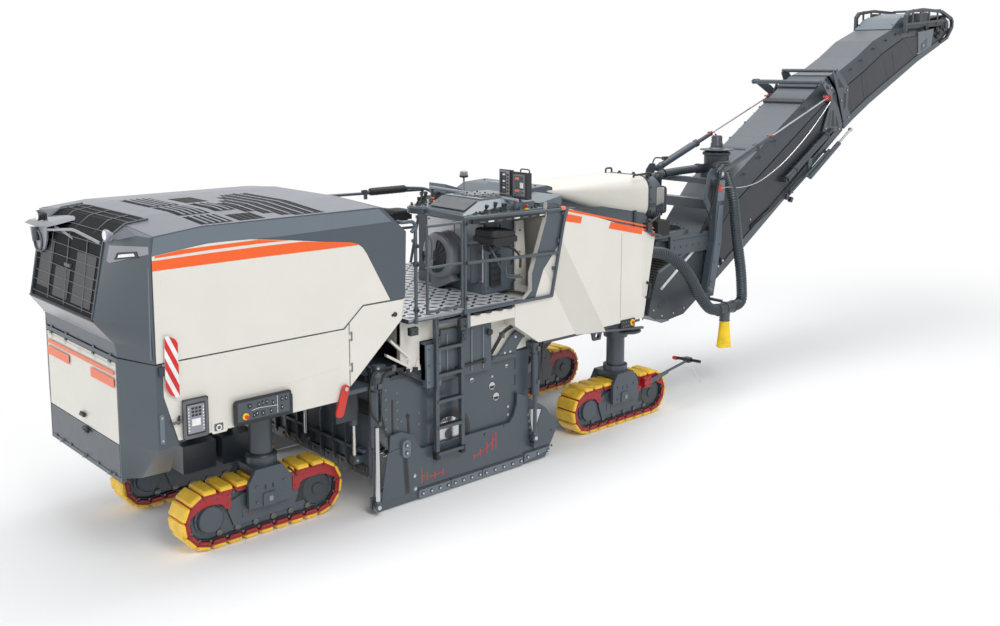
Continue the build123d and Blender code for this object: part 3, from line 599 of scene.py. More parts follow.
# ---------------------------------------------------------------- hood, side panels and rear
def clip(outline, frame_outline):
    """Part of one convex outline that lies inside another; both run counter-clockwise."""
    points = list(outline)
    for (ax, az), (bx, bz) in zip(frame_outline, frame_outline[1:] + frame_outline[:1]):
        kept = []
        for (px, pz), (qx, qz) in zip(points, points[1:] + points[:1]):
            p_in = (bx - ax) * (pz - az) - (bz - az) * (px - ax)
            q_in = (bx - ax) * (qz - az) - (bz - az) * (qx - ax)
            if p_in >= 0:
                kept.append((px, pz))
            if p_in * q_in < 0:
                t = p_in / (p_in - q_in)
                kept.append((px + (qx - px) * t, pz + (qz - pz) * t))
        points = kept
        if not points:
            return []
    return points


skin = 0.0035               # sheet and film laid on a panel
slate_edge = [(0.838, 2.648), (0.796, 2.707), (0.739, 2.749), (0.668, 2.773), (0.339, 2.814),
    (0.011, 2.863), (-0.303, 2.904), (-0.425, 2.919), (-0.777, 2.92), (-1.003, 2.897), (-1.268, 2.866)]
cream_side = [(-1.268, 1.971), (0.562, 1.971), (0.783, 2.162), (1.104, 2.164)] + slate_edge
thick_stripe = [(-1.268, 2.744), (-0.3, 2.745), (0.205, 2.74), (0.745, 2.738), (0.739, 2.749),
    (0.668, 2.773), (0.339, 2.814), (0.153, 2.836), (-0.3, 2.84), (-0.78, 2.837), (-1.268, 2.829)]
thin_stripe = [(-1.243, 2.849), (-0.78, 2.863), (-0.303, 2.866), (0.008, 2.861), (-0.3, 2.901),
    (-0.708, 2.898), (-1.003, 2.895), (-1.243, 2.867)]
# Slanted band above the stripes: a facet that leans in and catches the light, drawn in lighter slate as
# painted light.
lit_chamfer_band = [(-1.272, 2.868), (-1.003, 2.9), (-0.777, 2.923), (-0.116, 2.906), (1.135, 2.924),
    (0.985, 3.058), (-0.822, 3.064), (-1.246, 3.018)]
roof_top = corners_of("engine_hood")[1].z
roof_flat = 0.58           # half width of the flat part of the roof
roof_drop = 0.0746          # fall of the shoulders per metre
roof_bend = -0.82          # station where the roof starts to fall to the rear
roof_half = 1.244           # half width of the roof's skin
rear_fall = 0.107           # fall behind the bend per metre


def roof_height(x, y):
    return roof_top - roof_drop * max(0.0, abs(y) - roof_flat) - rear_fall * max(0.0, roof_bend - x)


def roof_strip(shape, x0, x1, y0, y1, base, height, material):
    """Sheet that follows the roof between two x and two y."""
    bends = sorted({y0, y1, *(y for y in (-roof_flat, roof_flat) if y0 < y < y1)})
    for ya, yb in zip(bends, bends[1:]):
        low = rect(x0, x1, ya, yb)
        shape.solid([[(x, y, roof_height(x, y) + base) for x, y in low],
            [(x, y, roof_height(x, y) + base + height) for x, y in low]], material)


def hood_panels():
    hood = Shape()
    for side in (-1, 1):
        y = side * body_half
        # Cream side, orange stripes, the lit band above them in painted light, and a thin strip of painted
        # shade along the rear edge.
        for row in ((cream_side, y - side * 0.001, y + side * skin, "cream_paint"),
                (thick_stripe, y + side * skin, y + side * (skin + 0.0015), "orange_paint"),
                (thin_stripe, y + side * skin, y + side * (skin + 0.0015), "orange_paint"),
                (lit_chamfer_band, y - side * 0.001, y + side * skin, "slate_light"),
                ([(-1.279, 1.972), (-1.272, 1.972), (-1.272, 2.86), (-1.279, 2.855)], y, y + side * skin,
                "dark_paint")):
            hood.side(*row)
        for px, pz in ((-1.2, 2.05), (-1.2, 2.65), (0.5, 2.03), (0.98, 2.22)):
            hood.bolt((px, y + side * skin, pz), (0, side, 0), 0.007, 0.003, "cream_paint")
    hood.finish("hood_side_panels", "hood", 0.0015)

    # Roof skin in the lighter slate: painted light on the hood's top.
    roof = Shape()
    for row in ((roof_bend, 0.955), (-1.045, roof_bend)):
        roof_strip(roof, *row, -roof_half, roof_half, 0.0, 0.003, "roof_paint")
    for side in (-1, 1):
        y0, y1 = sorted((side * 0.722, side * roof_half))
        roof_strip(roof, -1.25, -1.045, y0, y1, 0.0, 0.003, "roof_paint")
    roof.finish("hood_roof_skin", "hood", 0.0, 1)

    # Air openings: black wells with slats in the roof's lighter slate (painted light) and dividers in the
    # shaded slate (painted shade), rims that stand a little proud.
    louvres = Shape()
    slot_groups = [
        # x0, x1, y0, y1, slats along y
        (-0.8, -0.5, -0.19, 0.47, 5),
        (-0.8, -0.5, -0.78, -0.25, 5),
        (-0.8, -0.5, -1.2, -0.85, 5),
        (-0.43, -0.23, -0.74, -0.2, 3),
    ]
    for x0, x1, y0, y1, count in slot_groups:
        roof_strip(louvres, x0, x1, y0, y1, 0.003, 0.001, "black_mesh")
        step = (x1 - x0) / count
        for i in range(1, count):
            roof_strip(louvres, x0 + i * step - 0.012, x0 + i * step + 0.012, y0, y1, 0.003, 0.009,
                "roof_paint")
    for x0, x1, y0, y1 in ((-0.4, -0.17, -0.11, 0.29), (-0.44, -0.19, -1.2, -0.92)):
        roof_strip(louvres, x0, x1, y0, y1, 0.003, 0.001, "black_mesh")
        for i in range(1, 4):
            roof_strip(louvres, x0 + i * (x1 - x0) / 4 - 0.004, x0 + i * (x1 - x0) / 4 + 0.004, y0, y1,
                0.003, 0.002, "dark_paint")
    forward_slots = [(-0.175, -0.88, -0.32), (-0.07, -1.02, -0.16), (0.035, -1.15, 0.08),
        (0.14, -1.205, 0.22), (0.245, -1.205, 0.26), (0.35, -1.205, 0.23)]
    for x, y0, y1 in forward_slots:
        roof_strip(louvres, x - 0.036, x + 0.036, y0, y1, 0.003, 0.001, "black_mesh")
        roof_strip(louvres, x + 0.036, x + 0.06, y0, y1, 0.003, 0.008, "roof_paint")
        roof_strip(louvres, x - 0.004, x + 0.004, y0, y1, 0.003, 0.003, "dark_paint")
    louvres.finish("hood_louvres", "hood", 0.0015, 1)


def screen_point(z, out=0.0):
    """Point on the rear screen's slanted face."""
    slope = (1.56 - 1.434) / (2.944 - 2.301)
    return -1.56 + (z - 2.301) * slope - out


def rear_of_hood():
    face = Shape()
    half = 0.705
    for i in range(7):
        z = 2.34 + i * 0.095
        sag = 0.05 * (i % 2)
        face.bar((screen_point(z, 0.006), -half, z - sag * 0.2),
            (screen_point(z, 0.006), half, z + sag * 0.2), 0.0035, "grey_plastic", 6)
    for y in (-0.47, -0.055, 0.33):
        face.tube([(screen_point(2.32, 0.005), y, 2.32), (screen_point(2.93, 0.005), y + 0.09, 2.93),
            (-1.245, y + 0.12, 3.071), (-1.06, y + 0.13, 3.094)], 0.0055, "grey_plastic", 6, 0.03)
    for x, z in ((-1.36, 2.998), (-1.2, 3.079), (-1.12, 3.087)):
        face.bar((x, -half, z), (x, half, z), 0.0035, "grey_plastic", 6)
    # Dim machinery behind the mesh: coolers and uprights.
    for y0, y1, z0, z1 in ((-0.62, -0.2, 2.36, 2.8), (-0.1, 0.24, 2.36, 2.62), (0.34, 0.64, 2.4, 2.84)):
        low = screen_point(z0, 0.002)
        high = screen_point(z1, 0.002)
        face.slab([(low, y0, z0), (low, y1, z0), (high, y1, z1), (high, y0, z1)], (-0.0025, 0, 0),
            "black_plastic")
    face.block(screen_point(2.62, 0.01), screen_point(2.62, -0.02), -0.1, 0.03, 2.645, 2.675,
        "grey_plastic")
    # Frame of the window.
    for side in (-1, 1):
        face.tube(across(side, [(-1.574, 0.722, 2.305), (-1.447, 0.722, 2.948), (-1.258, 0.722, 3.078),
            (-1.05, 0.722, 3.1)]), 0.009, "slate_paint", 8, 0.02)
    # Silver visor under the screen, with a thin black lip.
    face.solid([[(-1.428, -0.806, 2.09), (-1.428, 0.806, 2.09), (-1.574, 0.748, 2.279),
        (-1.574, -0.748, 2.279)], [(-1.432, -0.806, 2.089), (-1.432, 0.806, 2.089), (-1.578, 0.748, 2.277),
        (-1.578, -0.748, 2.277)]], "silver_and_highlight")
    face.bar((-1.577, -0.745, 2.29), (-1.577, 0.745, 2.29), 0.008, "black_plastic", 8)
    face.finish("rear_window_wires", "hood", 0.0, 1)

    # Corner posts: a silver plate for the painted highlight where light falls on their rear faces, lamps,
    # and a strip of painted light along each outer edge.
    posts = Shape()
    for side in (-1, 1):
        def post(t, z, out):
            """Point on the post's rear face: t from its inner to its outer edge."""
            share = (z - 2.28) / 0.67
            inner = Vector((-1.575 + 0.135 * share, 0.75 + 0.05 * share, z))
            outer = Vector((-1.278, 1.25, z))
            normal = Vector((-0.93, 0.34, 0.16))
            point = inner.lerp(outer, t) + normal * out
            return (point.x, side * point.y, point.z)

        def on_post(corners, out, material):
            posts.solid([[post(t, z, -0.001) for t, z in corners], [post(t, z, out) for t, z in corners]],
                material)

        on_post([(0.05, 2.795), (0.12, 2.78), (0.9, 2.875), (0.965, 2.885), (0.965, 2.945), (0.05, 2.925)],
            0.003, "silver_and_highlight")
        on_post([(0.22, 2.812), (0.76, 2.85), (0.7, 2.897), (0.27, 2.872)], 0.01, "black_plastic")
        on_post([(0.3, 2.83), (0.68, 2.857), (0.65, 2.88), (0.32, 2.857)], 0.014, "lamp_glass")
        on_post([(0.93, 2.0), (0.955, 2.0), (0.955, 2.78), (0.93, 2.76)], 0.002, "slate_light")
    posts.finish("post_caps_with_lamps", "hood", 0.002)

    # Left bracket with its swivelling mirror, lamps and tube arms on the roof's rear edge.
    arms = Shape()
    arms.slab([(-1.5, 1.02, 2.925), (-1.5, 0.9, 2.965), (-1.5, 0.3, 3.01), (-1.5, 0.215, 2.985),
        (-1.5, 0.58, 2.915)], (0.2, 0, 0.035), "silver_and_highlight")
    arms.slab([(-1.505, 0.86, 2.905), (-1.505, 0.42, 2.95), (-1.505, 0.44, 2.83), (-1.505, 0.5, 2.74),
        (-1.505, 0.62, 2.69), (-1.505, 0.74, 2.715), (-1.505, 0.82, 2.79)], (0.018, 0, 0), "silver_and_highlight")
    arms.ring((-1.515, 0.635, 2.8), (1, 0, 0), 0.095, 0.01, "grey_plastic", 24)
    arms.bar((-1.53, 0.64, 2.8), (-1.53, 0.655, 2.925), 0.03, "slate_paint", 12)
    arms.lathe((-1.47, 0.535, 2.985), (0, 0, 0.05), [(0.022, 0), (0.014, 1)], "black_plastic", 12)
    arms.lathe((-1.545, 0.535, 3.045), (0.085, 0, 0), [(0.047, 0), (0.05, 0.15), (0.045, 0.55), (0.02, 1)],
        "black_plastic", 20)
    arms.lathe((-1.549, 0.535, 3.045), (0.006, 0, 0), [(0.04, 0), (0.04, 1)], "lamp_glass", 20)
    arms.tube([(-1.49, 0.56, 2.905), (-1.49, -0.18, 2.99), (-1.44, -0.64, 2.92)], 0.014, "silver_and_highlight", 10,
        0.06)
    arms.tube([(-1.47, 0.3, 2.965), (-1.44, -0.02, 2.895), (-1.43, -0.06, 2.86)], 0.011, "silver_and_highlight", 10,
        0.05)
    arms.tube([(-1.4, -0.76, 2.985), (-1.47, -0.9, 2.99)], 0.012, "silver_and_highlight")
    arms.lathe((-1.52, -0.935, 3.03), (0.06, 0, 0), [(0.047, 0), (0.05, 0.2), (0.04, 0.6), (0.018, 1)],
        "silver_and_highlight", 20)
    arms.lathe((-1.524, -0.935, 3.03), (0.006, 0, 0), [(0.04, 0), (0.04, 1)], "lamp_glass", 20)
    arms.block(-1.47, -1.4, -0.83, -0.78, 2.955, 3.025, "silver_and_highlight")
    arms.finish("rear_lamps_and_mirror", "hood", 0.002)


def side_fittings():
    """Controls, hazard plate and trim on the fixed side panels."""
    for side, label in ((-1, "right"), (1, "left")):
        y = side * body_half
        trim = Shape()

        def plate(points, near, far, material):
            trim.side(points, y + side * near, y + side * far, material)

        # Hazard plate on its dark bracket.
        board = [(-1.208, 1.767), (-1.173, 1.7), (-1.11, 1.656), (-1.088, 1.682), (-1.088, 2.129),
            (-1.115, 2.164), (-1.183, 2.201), (-1.204, 2.184)]
        plate(board, 0.024, 0.03, "white")
        for k in range(-1, 4):
            top = 2.215 - k * 0.178
            stripe = clip([(-1.215, top - 0.092), (-1.08, top - 0.382), (-1.08, top - 0.29), (-1.215, top)],
                board)
            if len(stripe) > 2:
                plate(stripe, 0.03, 0.0312, "red")
        plate([(-1.255, 1.865), (-1.2, 1.86), (-1.2, 1.94), (-1.255, 1.935)], 0.0, 0.024, "dark_paint")
        plate(rect(-1.2, -1.1, 1.8, 1.93), 0.0, 0.024, "dark_paint")
        # Display in a rounded grey frame.
        plate(rounded_box((-1.07, 1.285), (-0.848, 1.618), 0.022), 0.03, 0.048, "grey_plastic")
        plate(rounded_box((-1.046, 1.315), (-0.872, 1.59), 0.008), 0.046, 0.0495, "black_plastic")
        plate(rect(-1.036, -0.882, 1.33, 1.575), 0.049, 0.05, "silver_and_highlight")
        for row in range(3):
            for column in range(3):
                px = -1.0 + column * 0.032
                pz = 1.475 + row * 0.03
                plate(rect(px, px + 0.024, pz, pz + 0.02), 0.05, 0.0525, "black_plastic")
        plate(rect(-0.998, -0.92, 1.392, 1.452), 0.05, 0.0507, "white")
        for row in range(8):
            pz = 1.35 + row * 0.027
            for px in (-1.03, -0.898):
                plate(rect(px, px + 0.01, pz, pz + 0.012), 0.05, 0.051, "white")
        trim.bar((-1.165, y + side * 0.03, 1.445), (-1.065, y + side * 0.022, 1.45), 0.012, "grey_plastic",
            12)
        trim.bar((-1.1, y + side * 0.01, 1.425), (-1.1, y + side * 0.03, 1.5), 0.01, "black_plastic", 10)
        # Control box with toggles and a stop button, on a faint raised panel.
        plate(rect(-0.635, -0.012, 1.288, 1.556), 0.0, 0.003, "cream_paint")
        plate(rounded_box((-0.607, 1.302), (-0.038, 1.522), 0.026), 0.034, 0.052, "black_plastic")
        plate(rect(-0.575, -0.062, 1.328, 1.498), 0.0515, 0.053, "slate_paint")
        trim.lathe((-0.5, y + side * 0.052, 1.368), (0, side * 0.022, 0),
            [(0.03, 0), (0.03, 0.3), (0.024, 0.4)], "yellow", 18)
        trim.lathe((-0.5, y + side * 0.058, 1.368), (0, side * 0.026, 0),
            [(0.01, 0), (0.017, 0.4), (0.019, 0.8), (0.012, 1.0)], "red", 18)
        toggles = [(-0.46, 1.455, 1.5), (-0.37, 1.45, 0.7), (-0.33, 1.455, 0.7), (-0.29, 1.46, 0.7),
            (-0.39, 1.375, 1), (-0.33, 1.365, 1.3), (-0.25, 1.37, 0.8), (-0.14, 1.455, 0.8),
            (-0.095, 1.455, 0.8), (-0.14, 1.38, 0.8), (-0.23, 1.44, 0.5), (-0.42, 1.365, 0.7)]
        for px, pz, wide in toggles:
            plate(rect(px - 0.012 * wide, px + 0.012 * wide, pz - 0.02, pz + 0.018), 0.053, 0.059,
                "black_plastic")
            plate(rect(px - 0.003, px + 0.003, pz - 0.004, pz + 0.006), 0.059, 0.0598, "white")
        plate(rect(-0.185, -0.181, 1.335, 1.492), 0.053, 0.0537, "white")
        plate([(-0.44, 1.408), (-0.36, 1.418), (-0.19, 1.405), (-0.19, 1.409), (-0.36, 1.422),
            (-0.44, 1.412)], 0.053, 0.0537, "white")
        # Recess with a lashing eye.
        plate(rounded_box((-0.797, 1.262), (-0.652, 1.38), 0.015), 0.0, 0.004, "cream_paint")
        plate(rounded_box((-0.775, 1.282), (-0.69, 1.35), 0.01), 0.004, 0.0048, "grey_plastic")
        trim.ring((-0.733, y + side * 0.01, 1.312), (0, 1, 0), 0.022, 0.006, "white", 18)
        # Joint lines and the two-bolt strip behind the slanted edge.
        trim.side([(-1.261, 1.287), (-1.22, 1.277), (-1.22, 1.525), (-1.24, 1.537), (-1.261, 1.527)], y,
            y + side * 0.006, "slate_light")
        for pz in (1.31, 1.505):
            trim.bolt((-1.24, y + side * 0.006, pz), (0, side, 0), 0.009, 0.005, "bare_metal")
        trim.side([(0.02, 1.56), (0.5, 1.6), (0.5, 1.603), (0.02, 1.563)], y, y + side * 0.001,
            "shaded_cream")
        for pz in (1.4, 1.8):
            trim.bolt((0.5, y, pz), (0, side, 0), 0.007, 0.003, "cream_paint")
        trim.finish(f"side_fittings_{label}", "chassis", 0.0015)

        # Door: latch, hinge leaves and a folded edge.
        door = Shape()
        door.lathe((1.16, y, 2.013), (0, side * 0.016, 0), [(0.024, 0), (0.022, 0.7), (0.016, 1)],
            "black_plastic", 18)
        door.side([(1.12, 1.995), (1.16, 2.0), (1.16, 2.026), (1.12, 2.02)], y, y + side * 0.009,
            "black_plastic")
        door.side([(1.236, 1.955), (1.268, 2.14), (1.276, 2.14), (1.244, 1.955)], y, y + side * 0.004,
            "shaded_cream")
        for pz in (1.88, 1.58):
            door.side(rect(0.64, 0.662, pz - 0.045, pz + 0.045), y, y + side * 0.004, "slate_light")
        door.finish(f"service_door_fittings_{label}", f"door_{label}", 0.0015)


def rear_flaps():
    back = -corners_of("rear_body")[0].x
    upper = Shape()
    for z0, z1, y0, y1 in ((1.802, 1.839, -0.77, 0.77), (1.69, 1.774, 0.235, 0.77),
            (1.69, 1.774, -0.77, -0.265)):
        upper.block(-back - 0.0015, -back, y0, y1, z0, z1, "pale_orange")
    upper.slab([(-back, y, z) for y, z in rounded_box((-0.1, 1.27), (0.01, 1.312), 0.02)], (-0.014, 0, 0),
        "black_plastic")
    upper.slab([(-back - 0.014, y, z) for y, z in rounded_box((-0.085, 1.278), (-0.005, 1.298), 0.008)],
        (-0.012, 0, 0), "grey_plastic")
    for y in (-0.66, -0.34, 0.0, 0.34, 0.66):
        upper.block(-back - 0.006, -back, y - 0.03, y + 0.03, 1.872, 1.886, "cream_paint")
    upper.block(-back - 0.003, -back, -0.785, 0.785, 1.884, 1.893, "shaded_cream")
    upper.finish("upper_flap_fittings", "upper_flap", 0.001, 1)
    lower = Shape()
    lower.slab([(-back, y, z) for y, z in rounded_box((-0.16, 1.135), (-0.03, 1.185), 0.02)],
        (-0.016, 0, 0), "black_plastic")
    lower.slab([(-back - 0.016, y, z) for y, z in rounded_box((-0.13, 1.142), (-0.06, 1.16), 0.008)],
        (-0.014, 0, 0), "grey_plastic")
    lower.finish("lower_flap_fittings", "lower_flap", 0.001, 1)
    clips = Shape()
    for y in (-0.57, -0.02, 0.53):
        clips.block(-back - 0.012, -back + 0.02, y - 0.02, y + 0.02, 0.88, 0.906, "silver_and_highlight")
        clips.bar((-back - 0.016, y, 0.88), (-back - 0.016, y, 0.9), 0.008, "bare_metal", 10)
    clips.finish("rear_flap_clips", "chassis", 0.001, 1)


hood_panels()
rear_of_hood()
side_fittings()
rear_flaps()


# ---------------------------------------------------------------- operator platform
floor_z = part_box("platform_floor")[1][2]
floor_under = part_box("platform_floor")[0][2]
desk_z = 2.86
rail_side = body_half + 0.025


def tread_plate():
    """Bright sheet with rows of dark raised lozenges."""
    shape = Shape()
    for row in ((1.33, 2.846, -body_half + 0.008), (2.846, 3.63, 0.45)):
        shape.block(*row, body_half - 0.008, floor_z - 0.002, floor_z + 0.003, "tread_sheet")
    for row in range(20):
        for column in range(22):
            x = 1.395 + row * 0.115
            y = -1.185 + column * 0.113
            if x > 2.62 and -0.92 < y < 0.36 or x > 2.8 and y < 0.5:
                continue
            turn = 0.7 if (row + column) % 2 else -0.7
            along = (0.06 * math.cos(turn), 0.06 * math.sin(turn))
            over = (-0.022 * math.sin(turn), 0.022 * math.cos(turn))
            points = [(x - along[0], y - along[1]), (x - over[0], y - over[1]),
                (x + along[0], y + along[1]), (x + over[0], y + over[1])]
            shape.plan(points, floor_z + 0.002, floor_z + 0.006, "black_plastic")
    shape.finish("tread_plate", "chassis", bevel=0)


def platform_edges():
    """Kick strips, cream boxes below the floor and their round knobs."""
    shape = Shape()
    for side in (-1, 1):
        y = side * (body_half - 0.004)
        front = 2.85 if side < 0 else 3.64
        shape.block(1.325, front, y, y + side * 0.007, floor_z - 0.024, floor_z + 0.004, "silver_and_highlight")
        shape.block(2.08, 2.12, side * 1.2, side * body_half, 1.725, floor_under - 0.002, "slate_light")
        shape.side(rect(2.12, 2.74, 1.735, 1.847), side * 1.05, side * (body_half + 0.004), "cream_paint")
        for x in (2.205, 2.36, 2.52, 2.655):
            shape.lathe((x, side * (body_half - 0.01), 1.846), (0, 0, 0.034),
                [(0.044, 0), (0.05, 0.2), (0.05, 0.7), (0.03, 1)], "black_plastic")
        for x in (1.395, 2.03):
            shape.block(x - 0.05, x + 0.05, side * 1.2, side * (rail_side - 0.022), 1.76, 1.84,
                "dark_paint")
            shape.bolt((x - 0.03, side * (rail_side - 0.022), 1.8), (0, side, 0))
            shape.bolt((x + 0.03, side * (rail_side - 0.022), 1.8), (0, side, 0))
    shape.finish("platform_edges", "chassis", 0.004)


def rail_fittings():
    """Grab hoops, collars, end marks, the lower hand rails of the ladders and the padded bars."""
    shape = Shape()
    for side in (-1, 1):
        y = side * rail_side
        hoop = [(1.4, y, 2.7), (1.4, y, 2.905), (1.235, y, 2.905), (1.235, side * 1.2, 2.905)]
        shape.tube(hoop, 0.019, "slate_paint", 12, 0.07)
        for x, z in ((1.4, 2.02), (1.4, 2.48), (1.4, 2.66), (2.03, 2.05), (2.03, 2.42), (2.03, 2.82)):
            shape.lathe((x, y, z - 0.022), (0, 0, 0.044),
                [(0.024, 0), (0.029, 0.2), (0.029, 0.8), (0.024, 1)], "dark_paint", 16)
            shape.block(x - 0.01, x + 0.01, y + side * 0.024, y + side * 0.042, z - 0.016, z + 0.016,
                "black_plastic")
        shape.bar((3.395, y, 2.852), (3.455, y, 2.85), 0.0225, "pale_orange", 14)
        for x, z in ((3.44, 2.795), (3.37, 2.5), (3.3, 2.2)):
            shape.block(x - 0.012, x + 0.012, side * (body_half - 0.01), y, z - 0.02, z + 0.02,
                "slate_paint")
    for y, x0, x1, z in ((1.25, 2.66, 3.2, 2.87), (1.25, 1.56, 1.92, 2.868)):
        shape.bar((x0 - 0.05, y + 0.025, z), (x1 + 0.03, y + 0.025, z), 0.022, "slate_paint", 12)
    shape.block(2.56, 2.6, 1.235, 1.262, 2.79, 2.905, "slate_paint")
    shape.block(2.545, 2.615, 1.255, 1.29, 2.85, 2.9, "dark_paint")
    shape.tube([(3.17, 1.2, 2.89), (3.46, 1.2, 2.862), (3.61, 1.2, 2.79), (3.7, 1.2, 2.74)], 0.019,
        "slate_paint", 12, 0.08)
    shape.finish("rail_fittings", "chassis", 0.002)
    pad = Shape()
    pad.lathe((2.655, 1.272, 2.872), (0.545, 0, 0), [(0.03, 0), (0.044, 0.02), (0.047, 0.06), (0.047, 0.94),
        (0.044, 0.98), (0.03, 1)], "seat_fabric")
    for i in range(9):
        x = 2.7 + i * 0.058
        pad.ring((x, 1.272, 2.872), (1, 0, 0), 0.0465, 0.0022, "black_rubber", 24)
    pad.finish("rail_pad", "chassis", 0)


def cushion(name, x0, x1, y0, y1, z0, z1, lip):
    """Seat cushion with a raised rear edge, on its pan."""
    shape = Shape()
    outline = rounded_box((x0, y0), (x1, y1), 0.07, 5)
    cx, cy = (x0 + x1) / 2, (y0 + y1) / 2
    rings = []
    for grow, z in ((0.94, z0), (1.0, z0 + 0.012), (1.0, z1 - 0.022), (0.95, z1 - 0.006), (0.82, z1),
            (0.55, z1 - 0.006)):
        rings.append([(cx + (x - cx) * grow, cy + (y - cy) * grow,
            z + (lip if x < cx - 0.1 and z > z1 - 0.03 else 0)) for x, y in outline])
    shape.solid(rings, "seat_fabric")
    shape.finish(name, "chassis", 0)


def seats():
    """Two folding seats, with their pans, arms and handles."""
    cushion("seat_right", 2.485, 2.835, -1.195, -0.855, 2.598, 2.665, 0.022)
    cushion("seat_left", 2.715, 3.045, 0.925, 1.205, 2.598, 2.66, 0.018)
    shape = Shape()
    shape.side([(2.5, 2.545), (2.82, 2.545), (2.78, 2.5), (2.56, 2.5)], -1.16, -0.9, "black_plastic")
    shape.block(2.655, 2.765, -1.0, -0.845, 2.43, 2.545, "dark_paint")
    shape.lathe((2.71, -0.9, 2.465), (0, 0.1, 0), [(0.05, 0), (0.062, 0.2), (0.062, 0.8), (0.05, 1)],
        "dark_paint")
    shape.tube([(2.75, -1.02, 2.48), (2.86, -1.08, 2.46), (2.93, -1.14, 2.36), (2.9, -1.16, 2.24)], 0.014,
        "black_plastic", 10, 0.06)
    shape.tube([(2.56, -1.05, 2.5), (2.6, -1.12, 2.36), (2.66, -1.18, 2.2), (2.86, -1.19, 2.16)], 0.012,
        "slate_paint", 10, 0.08)
    shape.tube([(2.66, -1.195, 2.35), (2.66, -1.195, 2.17), (2.9, -1.195, 2.145)], 0.012, "slate_paint", 10,
        0.06)
    shape.side([(2.74, 2.545), (3.02, 2.545), (2.97, 2.5), (2.79, 2.5)], 0.96, 1.17, "black_plastic")
    shape.lathe((2.88, 1.065, 2.3), (0, 0, 0.2), [(0.034, 0), (0.044, 0.05), (0.044, 0.9), (0.07, 1)],
        "dark_paint")
    shape.lathe((2.88, 1.065, floor_z), (0, 0, 0.03), [(0.1, 0), (0.1, 0.5), (0.045, 1)], "dark_paint")
    shape.finish("seat_frames", "chassis", 0.004)


def joystick(shape, x, y, z, tall=0.115):
    """Stick with a folded boot and a shaped grip."""
    shape.lathe((x, y, z), (0, 0, 0.012), [(0.034, 0), (0.034, 0.6), (0.03, 1)], "black_plastic", 20)
    shape.lathe((x, y, z + 0.01), (0.006, 0, 0.046), [(0.03, 0), (0.024, 0.2), (0.028, 0.3), (0.018, 0.5),
        (0.022, 0.6), (0.012, 0.9), (0.01, 1)], "black_rubber", 18)
    shape.lathe((x + 0.006, y, z + 0.052), (0.014, 0, tall - 0.052),
        [(0.01, 0), (0.017, 0.2), (0.02, 0.5), (0.024, 0.8), (0.021, 0.95), (0.01, 1)], "black_plastic", 18)
    shape.bolt((x + 0.022, y, z + tall - 0.012), (0.3, 0, 1), 0.006, 0.005, "yellow")


def knob(shape, x, y, z, radius, height, material):
    shape.lathe((x, y, z), (0, 0, height), [(radius * 1.15, 0), (radius * 1.15, 0.15), (radius, 0.25),
        (radius, 0.85), (radius * 0.75, 1)], material, 16)


def stop_button(shape, x, y, z):
    """Red mushroom push-button on a yellow collar."""
    knob(shape, x, y, z, 0.024, 0.012, "yellow")
    shape.lathe((x, y, z + 0.01), (0, 0, 0.036), [(0.013, 0), (0.013, 0.45), (0.023, 0.55), (0.024, 0.8),
        (0.015, 1)], "lever_red", 20)


